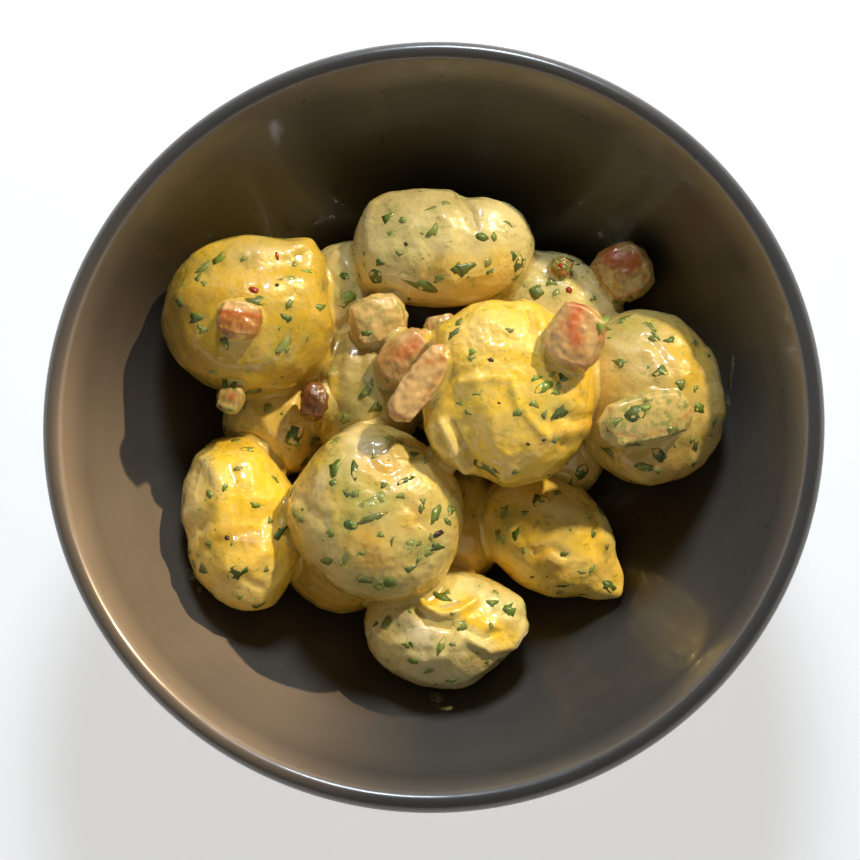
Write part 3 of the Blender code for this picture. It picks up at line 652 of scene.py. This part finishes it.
def makeBacon(node, plan, seed, material):
    mesh, places, edges, ways = skinOf(node, fry["cuts"], fry["passes"])
    bare = 1 - fry["sauceSmooths"] * plan["sauced"]
    rise = roughness(places, fry["lump"], seed + 31) * fry["lumpHeight"] * bare * mm
    rise += roughness(places, fry["fine"], seed + 37) * fry["fineHeight"] * bare * mm
    places = places + ways * rise[:, None]
    move(mesh, places)
    piece = addPiece(node.replace("bacon_", "lardon_"), mesh, material)
    dull = smoothedPlaces(places, edges, fry["edgePasses"])
    edge = np.clip(((places - dull) * ways).sum(axis=1) / fry["edge"] - fry["edgeFrom"], 0, 1)
    base = {"fat": plan["fat"], "lean": 0, "browned": edge * fry["edgeBrown"], "charAndShade": 0,
            "sauced": plan["sauced"] - edge * fry["edgeBare"]}
    addShares(piece, base, plan.get("strokes", {}), toPixels(places), facingShare(ways, -0.1, 0.3))
    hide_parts(node)
    return piece


cookedBacon = baconLook()
lardons = [makeBacon(node, plan, number, cookedBacon) for number, (node, plan) in enumerate(bacon.items())]
print("bacon:", len(lardons))


# Thin sauce that fills the creases: all the food in one skin, drawn smooth so that only hollows rise above it.
# Its shares of colour are even, but its yellow is that of the gnocchi round it; its paintedShade and brown shares
# are painted shade in the creases.
sauce = {"voxel": 0.8 * mm, "passes": 16, "sink": 0.22 * mm, "offBowl": 0.1 * mm, "neighbours": 24, "tintPasses": 10,
         "shares": {"pale": 0, "potato": 0, "brown": 0.25, "herb": 0.3, "paintedShade": 0.35}}


def joinedMesh(things):
    together = bmesh.new()
    for thing in things:
        together.from_mesh(thing.data)
    return asMesh(together)


def makeCreaseSauce(material):
    rough = addObject("rough", joinedMesh([*dumplings.values(), *lardons]))
    remesh = rough.modifiers.new("remesh", "REMESH")
    remesh.mode = "VOXEL"
    remesh.voxel_size = sauce["voxel"]
    settled = rough.evaluated_get(bpy.context.evaluated_depsgraph_get())
    mesh = bpy.data.meshes.new_from_object(settled)
    bpy.data.objects.remove(rough)
    for name in ["yellow", *sauce["shares"]]:
        if name in mesh.attributes:
            mesh.attributes.remove(mesh.attributes[name])
    edges = edgesOf(mesh)
    places = smoothedPlaces(placesOf(mesh), edges, sauce["passes"])
    move(mesh, places)
    sunk = places - rowsOf(mesh.vertices, "normal", 3) * sauce["sink"]
    places = keptOff(sunk, sauce["offBowl"])
    move(mesh, places)
    piece = addPiece("crease_sauce", mesh, material)
    corners, shades = [], []
    for node, dumpling in dumplings.items():
        some = placesOf(dumpling.data)[::7]
        corners.append(some)
        shades.append(np.full(len(some), gnocchi[node]["yellow"]))
    finder, shades = finderOf(np.concatenate(corners)), np.concatenate(shades)
    tint = [np.mean([shades[found[1]] for found in finder.find_n(place, sauce["neighbours"])]) for place in places]
    addNumbers(piece, "yellow", smoothed(np.array(tint), edges, sauce["tintPasses"]))
    for kind, share in sauce["shares"].items():
        addNumbers(piece, kind, np.full(len(tint), share))
    return piece


creaseSauce = makeCreaseSauce(creamSauce)
print("sauce in the creases")


# Chopped parsley, by its place on the picture: x, y, length, width in pixels, and turn in degrees
parsley = {
    "dark": [(198, 278, 8, 12, 0), (287, 318, 9, 12, 60), (196, 318, 22, 9, 5), (178, 300, 16, 8, -40),
      (258, 301, 22, 8, -10), (225, 342, 11, 12, 0), (344, 276, 9, 5, -50), (252, 392, 20, 14, 10),
      (224, 410, 14, 18, 0), (294, 436, 14, 20, 0), (367, 390, 24, 11, 60), (376, 407, 16, 11, 70),
      (379, 263, 10, 8, 40), (375, 277, 18, 11, 80), (457, 269, 10, 14, 0), (464, 269, 20, 15, 15),
      (514, 256, 8, 10, 30), (520, 267, 20, 11, 70), (536, 292, 16, 11, 20), (624, 301, 18, 17, 0),
      (571, 261, 14, 7, -10), (454, 333, 12, 7, 30), (544, 415, 10, 7, 55), (564, 410, 22, 11, 15),
      (563, 378, 12, 8, 0), (488, 469, 26, 12, 5), (582, 472, 16, 12, 10), (636, 413, 17, 14, 30),
      (714, 423, 9, 8, 0), (696, 444, 18, 6, 75), (659, 455, 12, 11, 30), (694, 464, 9, 6, 20),
      (633, 444, 20, 9, -15), (609, 452, 24, 7, -22), (539, 499, 16, 16, 30), (516, 534, 14, 8, 70),
      (607, 547, 8, 5, 70), (564, 554, 6, 5, 40), (609, 586, 14, 8, -10), (562, 586, 12, 4, 5), (452, 614, 5, 4, 0),
      (491, 625, 6, 4, -60), (203, 569, 15, 11, -20), (237, 572, 18, 12, 60), (258, 606, 14, 9, 5),
      (279, 534, 14, 7, 70), (354, 469, 18, 7, 85), (347, 494, 8, 7, 0), (372, 518, 28, 7, 14),
      (350, 525, 12, 8, 10), (406, 480, 16, 5, 32), (448, 522, 8, 6, -20), (437, 547, 18, 9, 0),
      (392, 541, 10, 4, 80), (410, 569, 12, 8, 25), (362, 580, 18, 10, -10), (414, 454, 10, 8, 40),
      (376, 624, 8, 5, 0), (184, 499, 14, 4, 85), (411, 644, 8, 4, -50)],
    "bright": [(220, 258, 15, 8, 45), (321, 307, 18, 7, 35), (308, 271, 22, 5, 20), (346, 299, 18, 12, 60),
      (440, 278, 17, 9, 30), (472, 352, 9, 7, 0), (460, 403, 7, 6, 0), (536, 378, 12, 6, 30), (544, 387, 16, 9, 20),
      (534, 404, 10, 8, 0), (604, 326, 18, 15, 20), (441, 646, 15, 7, 65), (413, 661, 12, 7, -20),
      (250, 449, 15, 6, 5), (236, 440, 9, 5, -10), (225, 487, 8, 5, 70), (256, 505, 16, 5, -10),
      (275, 479, 12, 6, 10), (476, 394, 9, 3, 0), (556, 392, 12, 7, 20), (645, 408, 12, 8, -10),
      (552, 375, 8, 5, 50), (459, 322, 9, 7, 30)],
    "teal": [(387, 218, 16, 9, 60), (433, 231, 18, 10, 60), (432, 208, 12, 4, 20), (419, 284, 30, 12, -22),
      (482, 237, 12, 6, -30), (508, 223, 12, 4, -10), (516, 278, 14, 5, 0), (551, 282, 12, 10, 60),
      (650, 326, 18, 8, -55), (656, 336, 10, 3, -55), (670, 340, 12, 8, 10), (700, 330, 17, 12, -60),
      (619, 362, 18, 7, -20), (661, 371, 16, 13, 60), (681, 384, 14, 10, 50), (700, 408, 14, 8, 10),
      (644, 467, 16, 8, 10), (673, 430, 14, 6, 20), (613, 423, 20, 12, 20), (511, 609, 20, 13, 70),
      (492, 603, 14, 8, -10), (442, 597, 16, 8, -30), (461, 626, 12, 8, 20), (335, 467, 22, 15, 60),
      (401, 496, 9, 7, 0), (436, 514, 18, 9, 70), (451, 510, 18, 9, 70), (327, 561, 14, 9, 20),
      (304, 462, 10, 6, 50), (600, 511, 20, 8, -55), (622, 318, 28, 4, -5), (355, 494, 8, 7, 0),
      (390, 583, 14, 9, 20), (423, 501, 8, 6, 0), (290, 492, 12, 8, 30)],
    "sunk": [(204, 267, 20, 8, 20), (290, 278, 18, 5, 20), (284, 348, 32, 20, 10), (264, 234, 20, 7, -15),
      (203, 330, 12, 9, 0), (212, 372, 14, 10, 0), (308, 338, 8, 4, 60), (268, 408, 10, 8, 0),
      (346, 419, 16, 12, 0), (330, 372, 10, 8, 0), (390, 233, 8, 6, 0), (488, 263, 12, 6, 70),
      (556, 294, 12, 6, 80), (504, 513, 22, 8, 80), (498, 538, 18, 13, 20), (619, 542, 24, 7, -70),
      (582, 572, 8, 5, 0), (429, 671, 14, 8, 20), (386, 624, 16, 10, 80), (194, 564, 12, 8, 0),
      (370, 506, 36, 17, 15), (382, 497, 16, 12, 0), (413, 544, 19, 9, 5), (349, 558, 20, 11, 80),
      (381, 583, 20, 11, 10), (299, 518, 14, 10, 20), (312, 442, 14, 8, 30), (337, 440, 16, 10, 0),
      (385, 439, 14, 9, 0), (399, 442, 12, 9, 0), (426, 552, 20, 10, 10), (362, 553, 9, 4, 0),
      (345, 300, 16, 10, 0)],
}
tones = {"dark": 0.0, "teal": 0.35, "bright": 0.9, "sunk": 0.5}      # share of the brighter green
leaf = {"longer": 1.25, "wider": 1.3, "ragged": 0.22, "thickness": 0.08 * mm, "corners": [3, 3, 4, 5],
        "lying": (0.03 * mm, 0.08 * mm), "pressed": (0.01 * mm, 0.05 * mm)}      # heights of rim and middle
chips = {"along": 0.7548777, "across": 0.5698403, "most": 20, "largestFace": 1.4 * mm * mm,
         "length": 11, "width": 8, "turn": 137.5, "heights": (0.01 * mm, 0.08 * mm)}
scatter = {"tries": 5200, "apart": 2.6 * mm, "seenApart": 0.75, "seenShare": 0.1, "offBowl": 1.4 * mm,
           "room": 7 * mm, "hiddenLengths": [4, 6, 8, 11, 15], "heights": (0.02 * mm, 0.08 * mm)}

foodTree = treeOf(joinedMesh([*dumplings.values(), *lardons, creaseSauce]))
bowlTree = treeOf(stoneware.data)


def sheetTemplate(sides, rings):      # a flat disc of rings of faces that end near a middle point
    disc = bmesh.new()
    bmesh.ops.create_circle(disc, cap_ends=True, segments=sides, radius=1)
    thickness = 0.92 / (rings + 1)
    for ring in range(rings):
        inner = [face for face in disc.faces if len(face.verts) == sides]
        bmesh.ops.inset_region(disc, faces=inner, thickness=thickness, use_even_offset=False)
    bmesh.ops.poke(disc, faces=[face for face in disc.faces if len(face.verts) == sides])
    return asMesh(disc)


leafSheet = sheetTemplate(16, 1)
filmSheet = sheetTemplate(28, 4)


# How a sheet is cut: its corners stand out, waves bend its sides (how many, how tall) and chance roughens its rim
cutting = {"cornersOut": 1.12, "waves": ((2, 0.9), (5, 0.35)), "rough": 0.4, "uneven": 0.12,
           "above": 2 * mm, "reach": 4.5 * mm}


class Sheets:      # many small sheets laid on a surface, gathered into one piece
    def __init__(self, template, tree):
        self.template = template
        self.flat = placesOf(template)
        self.radius = np.hypot(self.flat[:, 0], self.flat[:, 1])
        self.angle = np.arctan2(self.flat[:, 1], self.flat[:, 0])
        self.tree = tree
        self.places, self.numbers, self.middles = [], [], []

    def outline(self, corners, ragged):      # how far out each point lies, for a cut sheet with uneven sides
        phases = draw.uniform(0, math.tau, 3)
        fromCorner = (self.angle - phases[0]) % (math.tau / corners) - math.pi / corners
        edge = cutting["cornersOut"] * math.cos(math.pi / corners) / np.cos(fromCorner)
        edge *= 1 + ragged * sum(tall * np.sin(count * self.angle + phase)
                                 for (count, tall), phase in zip(cutting["waves"], phases[1:]))
        onRim = self.radius > 0.9
        return edge * (1 + ragged * cutting["rough"] * draw.uniform(-1, 1, len(onRim)) * onRim)

    def lay(self, middle, normal, length, width, turn, heights, ragged, corners, **numbers):
        along = imageRight - normal * imageRight.dot(normal)
        if along.length < 0.1:
            along = imageUp - normal * imageUp.dot(normal)
        along.normalize()
        across = normal.cross(along)
        edge = self.outline(corners, ragged)
        u, v = self.flat[:, 0] * edge * length / 2, self.flat[:, 1] * edge * width / 2
        c, s = math.cos(math.radians(turn)), math.sin(math.radians(turn))
        rim, top = heights
        laid = []
        for a, b, r in zip(u * c - v * s, u * s + v * c, self.radius):
            spot = middle + along * a + across * b
            hit = self.tree.ray_cast(spot + normal * cutting["above"], -normal, cutting["reach"])
            ground, way = (hit[0], hit[1]) if hit[0] else (spot, normal)
            uneven = draw.uniform(-cutting["uneven"], cutting["uneven"])
            lift = top + (rim - top) * min(r, 1) ** 2 + uneven * (top - rim)
            laid.append(ground + way * lift)
        self.places.append(np.array(laid))
        self.middles.append(middle)
        self.numbers.append(numbers)

    def layAtPixel(self, x, y, length, width, *shape, **numbers):
        hit = self.tree.ray_cast(eye, pixelWay(x, y))
        if hit[0]:
            size = (hit[0] - eye).dot(-lookBack) / camera["focal"]
            normal = hit[1] if hit[1].dot(lookBack) > 0 else -hit[1]
            self.lay(hit[0], normal, length * size, width * size, *shape, **numbers)

    def piece(self, name, material, thickness):
        sheets = bmesh.new()
        for _ in self.places:
            sheets.from_mesh(self.template)
        mesh = asMesh(sheets)
        move(mesh, np.concatenate(self.places))
        made = addPiece(name, mesh, material)
        for key in self.numbers[0]:
            addNumbers(made, key, np.repeat([n[key] for n in self.numbers], len(self.flat)))
        addNumbers(made, "edge", np.tile(self.radius, len(self.places)))
        solid = made.modifiers.new("thickness", "SOLIDIFY")
        solid.thickness = thickness
        solid.offset = -1


def parsleyLook():
    look = Look("choppedParsley", {"Coat Weight": 0.7, "Coat Roughness": 0.08})
    bright, sunk, shade, edge = look.attributes("bright", "sunk", "shade", "edge")
    vein = look.noise(0.8 * mm, rough=0.6, distortion=1.0, seed=1.0)
    colour = look.layers((0.045, 0.105, 0.014), (bright, (0.24, 0.38, 0.022)),
                         (look.step(vein, 0.45, 0.75) * 0.5, (0.12, 0.24, 0.035)),
                         (shade * 0.5, (0.018, 0.045, 0.008)),
                         # painted highlight: each leaf is lighter along its rim, where light catches the cut edge
                         (look.step(edge + vein * 0.3, 0.95, 1.2) * 0.3, (0.3, 0.42, 0.05)),
                         (sunk * (0.4 + vein * 0.5), (0.4, 0.42, 0.14)))
    return look.paint({"Base Color": colour, "Roughness": 0.3 + vein * 0.25,
                       "Alpha": 1.0 - sunk * look.step(edge + vein * 0.6, 0.75, 1.35),
                       "Normal": look.bump(vein, 0.15 * mm, 0.7)})


def chipSpots(node):      # where the solid carries a flake of parsley
    low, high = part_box(node)
    solid = cadNodes[node].data
    tree = treeOf(solid)
    for number in range(1, chips["most"] + 1):
        x = low.x + (high.x - low.x) * ((0.5 + number * chips["along"]) % 1)
        y = low.y + (high.y - low.y) * ((0.5 + number * chips["across"]) % 1)
        spot, normal, face, _ = tree.ray_cast(Vector((x, y, 0.2)), Vector((0, 0, -1)))
        if spot and solid.polygons[face].area < chips["largestFace"]:
            yield number, spot, normal


def cut():      # how many corners a chopped leaf has
    return draw.choice(leaf["corners"])


def layDrawn(leaves):
    for tone, spots in parsley.items():
        sunk = tone == "sunk"
        heights = leaf["pressed"] if sunk else leaf["lying"]
        for x, y, length, width, turn in spots:
            leaves.layAtPixel(x, y, length * leaf["longer"], width * leaf["wider"], turn, heights,
                              leaf["ragged"], cut(), bright=tones[tone] + draw.uniform(-0.08, 0.12),
                              sunk=0.85 if sunk else draw.uniform(0, 0.6), shade=draw.uniform(0, 0.8))


def layOnFlakes(leaves):
    for node in [*gnocchi, *bacon]:
        for number, spot, normal in chipSpots(node):
            hit = foodTree.ray_cast(spot + normal * 2 * mm, -normal, 4 * mm)
            if hit[0]:
                leaves.lay(hit[0], hit[1], chips["length"] * pixelSize, chips["width"] * pixelSize,
                           chips["turn"] * number, chips["heights"], leaf["ragged"], cut(),
                           bright=draw.uniform(0.1, 0.7), sunk=draw.uniform(0.3, 0.8), shade=draw.uniform(0, 0.6))


def layScattered(leaves):      # mostly where the picture doesn't show the food
    corners = [placesOf(dumpling.data) for dumpling in dumplings.values()]
    for _ in range(scatter["tries"]):
        some = corners[draw.integers(len(corners))]
        spot = Vector(some[draw.integers(len(some))])
        normal = foodTree.find_nearest(spot)[1]
        above = spot + normal * 0.4 * mm
        tight = bowlGap(np.array([spot]))[0] < scatter["offBowl"]
        if tight or foodTree.ray_cast(above, normal, scatter["room"])[0]:
            continue
        apart = np.linalg.norm(np.array(leaves.middles) - np.array(spot), axis=1).min()
        toEye = (eye - spot).normalized()
        seen = normal.dot(toEye) > 0.2 and not foodTree.ray_cast(above, toEye)[0]
        least = scatter["apart"] * (scatter["seenApart"] if seen else 1)
        if apart < least or (seen and draw.uniform() > scatter["seenShare"]):
            continue
        length = (draw.uniform(2, 6) if seen else draw.choice(scatter["hiddenLengths"])) * pixelSize
        leaves.lay(spot, normal, length, length * draw.uniform(0.4, 0.8), draw.uniform(0, 360),
                   scatter["heights"], leaf["ragged"], cut(), bright=draw.uniform(0, 0.8),
                   sunk=draw.choice([0.1, 0.2, 0.8]), shade=draw.uniform(0, 0.8))


parsleyLeaves = Sheets(leafSheet, foodTree)
layDrawn(parsleyLeaves)
layOnFlakes(parsleyLeaves)
layScattered(parsleyLeaves)
parsleyLeaves.piece("chopped_parsley", parsleyLook(), leaf["thickness"])
print("parsley:", len(parsleyLeaves.places), "leaves")

leafFinder = finderOf(parsleyLeaves.middles)
leafSunk = np.array([numbers["sunk"] for numbers in parsleyLeaves.numbers])
halo = {"width": 1.5 * mm, "least": 0.25, "sunk": 0.5}


def greenNear(piece):      # the sauce is greener round each leaf
    layer = piece.data.attributes["herb"]
    herb = rowsOf(layer.data, "value", 1)[:, 0]
    found = [leafFinder.find(place) for place in placesOf(piece.data)]
    far = np.array([nearest[2] for nearest in found])
    strength = halo["least"] + halo["sunk"] * leafSunk[[nearest[1] for nearest in found]]
    herb = np.clip(herb + strength * np.exp(-(far / halo["width"]) ** 2), 0, 1)
    layer.data.foreach_set("value", herb.astype(np.float32))


for piece in [*dumplings.values(), creaseSauce]:
    greenNear(piece)


# Red chilli and black pepper, by their places on the picture, as the parsley's
flecks = {
    "chilli_flecks": {"colour": (0.52, 0.045, 0.018), "spots": [
        (254, 290, 10, 8, 0), (277, 256, 4, 9, 0), (562, 266, 9, 6, -30), (569, 290, 8, 6, 0)]},
    "pepper_specks": {"colour": (0.045, 0.02, 0.018), "spots": [
        (491, 360, 6, 5, 0), (406, 244, 5, 4, 0), (438, 534, 12, 8, 10), (528, 444, 4, 4, 0), (544, 440, 4, 4, 0),
        (282, 377, 3, 3, 0), (277, 285, 5, 4, 0), (409, 299, 4, 4, 0), (499, 403, 3, 3, 0), (227, 538, 6, 5, 0)]},
}
fleck = {"heights": (0.02 * mm, 0.25 * mm), "ragged": 0.2, "corners": 5, "thickness": 0.2 * mm}


def fleckLook(name, colour):
    look = Look(name, {"Coat Weight": 0.5, "Coat Roughness": 0.12})
    mottle = look.noise(0.6 * mm, seed=2.4)
    dull = tuple(c * 0.45 for c in colour)
    return look.paint({"Base Color": look.layers(dull, (look.step(mottle, 0.35, 0.65), colour)),
                       "Roughness": 0.32 + mottle * 0.2, "Normal": look.bump(mottle, 0.1 * mm, 0.5)})


for name, plan in flecks.items():
    sheets = Sheets(leafSheet, foodTree)
    for spot in plan["spots"]:
        sheets.layAtPixel(*spot, fleck["heights"], fleck["ragged"], fleck["corners"])
    sheets.piece(name, fleckLook(name, plan["colour"]), fleck["thickness"])


# Smears and a drip of thin sauce on the glaze
smears = {"spots": [(731, 374, 7, 34, -6), (727, 402, 7, 16, 10), (193, 574, 11, 15, 20), (437, 696, 13, 20, 0),
                    (443, 707, 22, 8, -8), (369, 604, 10, 8, 0), (200, 590, 6, 8, 0)],
          "heights": (-0.02 * mm, 0.2 * mm), "ragged": 0.15, "corners": 12, "thickness": 0.1 * mm}


def filmLook():
    look = Look("sauceFilm", {"Coat Weight": 0.8, "Coat Roughness": 0.05})
    cloud = look.noise(1.6 * mm, seed=7.0)
    colour = look.layers((0.16, 0.17, 0.1), (look.step(cloud, 0.35, 0.65), (0.3, 0.29, 0.19)))
    return look.paint({"Base Color": colour, "Roughness": 0.12 + cloud * 0.15,
                       "Alpha": 0.25 + look.step(cloud, 0.4, 0.7) * 0.35, "Normal": look.bump(cloud, 0.2 * mm, 0.6)})


films = Sheets(filmSheet, bowlTree)
for spot in smears["spots"]:
    films.layAtPixel(*spot, smears["heights"], smears["ragged"], smears["corners"])
films.piece("sauce_smears", filmLook(), smears["thickness"])
print("flecks and smears")


# A plain pale floor that curves up into a backdrop all round, lower than the sun stands. It glows evenly,
# so no lamp rays are sent towards it.
backdrop = {"flat": 4.0, "curve": 1.5, "height": 2.2, "sides": 32, "steps": 6, "below": 0.05 * mm,
            "tones": ((0.86, 0.86, 0.85), (0.9, 0.9, 0.89)), "glow": (1.0, 0.99, 0.97), "glowing": 0.55}


def makeFloor():
    curve = [(backdrop["flat"] + backdrop["curve"] * math.sin(a), backdrop["curve"] * (1 - math.cos(a)))
             for a in np.linspace(0, math.pi / 2, backdrop["steps"])]
    profile = [(0, 0), *curve, (backdrop["flat"] + backdrop["curve"], backdrop["height"])]
    ground = spun([(r, 0, z - backdrop["below"]) for r, z in profile], backdrop["sides"], mm)
    if ground.faces[0].normal.z < 0:
        bmesh.ops.reverse_faces(ground, faces=ground.faces[:])
    look = Look("paleFloor", {"Roughness": 0.7, "Emission Color": backdrop["glow"],
                              "Emission Strength": backdrop["glowing"]})
    dim, pale = backdrop["tones"]
    look.paint({"Base Color": look.layers(dim, (look.noise(0.3, detail=2), pale))})
    look.material.cycles.emission_sampling = "NONE"
    mesh = asMesh(ground)
    mesh.materials.append(look.material)
    mesh.shade_smooth()
    floor = addObject("floor", mesh)


# The picture's low warm sun and the daylight from its top, each with one lamp for the bowl and one for the food,
# and a warm fill from the near side. Angles are in degrees, a spot's or area's size in metres.
lights = {
    "lowSun": {"kind": "SPOT", "azimuth": 47, "elevation": 28, "energy": 190, "colour": (1.0, 0.7, 0.38),
               "size": 0.018, "away": 1.5, "cone": 4.1, "blend": 0.15, "target": (-0.0384, -0.0128, 0.0662),
               "on": "bowl"},
    "softSun": {"kind": "SUN", "azimuth": 47, "elevation": 34, "energy": 3.3, "colour": (1.0, 0.83, 0.47),
                "size": 3.5, "away": 1.5, "target": (0, 0, 0), "on": "food"},
    "window": {"kind": "AREA", "azimuth": 86, "elevation": 39, "energy": 3.9, "colour": (0.76, 0.87, 1.0),
               "size": 0.2, "away": 0.75, "target": (0, 0, 0.03), "on": "bowl and floor"},
    "foodWindow": {"kind": "AREA", "azimuth": 86, "elevation": 42, "energy": 2.3, "colour": (0.92, 0.95, 1.0),
                   "size": 0.1, "away": 0.75, "target": (0, 0, 0.03), "on": "food"},
    "fill": {"kind": "AREA", "azimuth": -75, "elevation": 58, "energy": 1.0, "colour": (1.0, 0.88, 0.58),
             "size": 0.7, "away": 0.8, "target": (0, 0, 0.03), "on": "food"},
}
room = {"colour": (0.86, 0.93, 1.0), "strength": 0.02}


def receivers(kinds):      # what a light shines on
    group = bpy.data.collections.new(kinds)
    cadNames = [solid.name for solid in cadNodes.values()]
    for thing in bpy.data.objects:
        kind = {"stonewareBowl": "bowl", "floor": "floor"}.get(thing.name, "food")
        if thing.type == "MESH" and thing.name not in cadNames and kind in kinds:
            group.objects.link(thing)
    return group


def makeLights():
    for name, plan in lights.items():
        data = bpy.data.lights.new(name, plan["kind"])
        data.energy = plan["energy"]
        data.color = plan["colour"]
        if plan["kind"] == "SPOT":
            data.spot_size = math.radians(plan["cone"])
            data.spot_blend = plan["blend"]
            data.shadow_soft_size = plan["size"]
        elif plan["kind"] == "SUN":
            data.angle = math.radians(plan["size"])
        else:
            data.shape = "DISK"
            data.size = plan["size"]
        azimuth, elevation = math.radians(plan["azimuth"]), math.radians(plan["elevation"])
        level = math.cos(elevation)
        way = Vector((math.cos(azimuth) * level, math.sin(azimuth) * level, math.sin(elevation)))
        lamp = addObject(name, data)
        lamp.location = way * plan["away"] + Vector(plan["target"])
        lamp.rotation_euler = way.to_track_quat("Z", "Y").to_euler()
        lamp.light_linking.receiver_collection = receivers(plan["on"])
    world = bpy.data.worlds.new("softRoom")
    world.use_nodes = True
    background = world.node_tree.nodes["Background"]
    background.inputs["Color"].default_value = (*room["colour"], 1)
    background.inputs["Strength"].default_value = room["strength"]
    bpy.context.scene.world = world


makeFloor()
makeLights()
bpy.context.scene.view_settings.view_transform = "Standard"
print("floor and light")
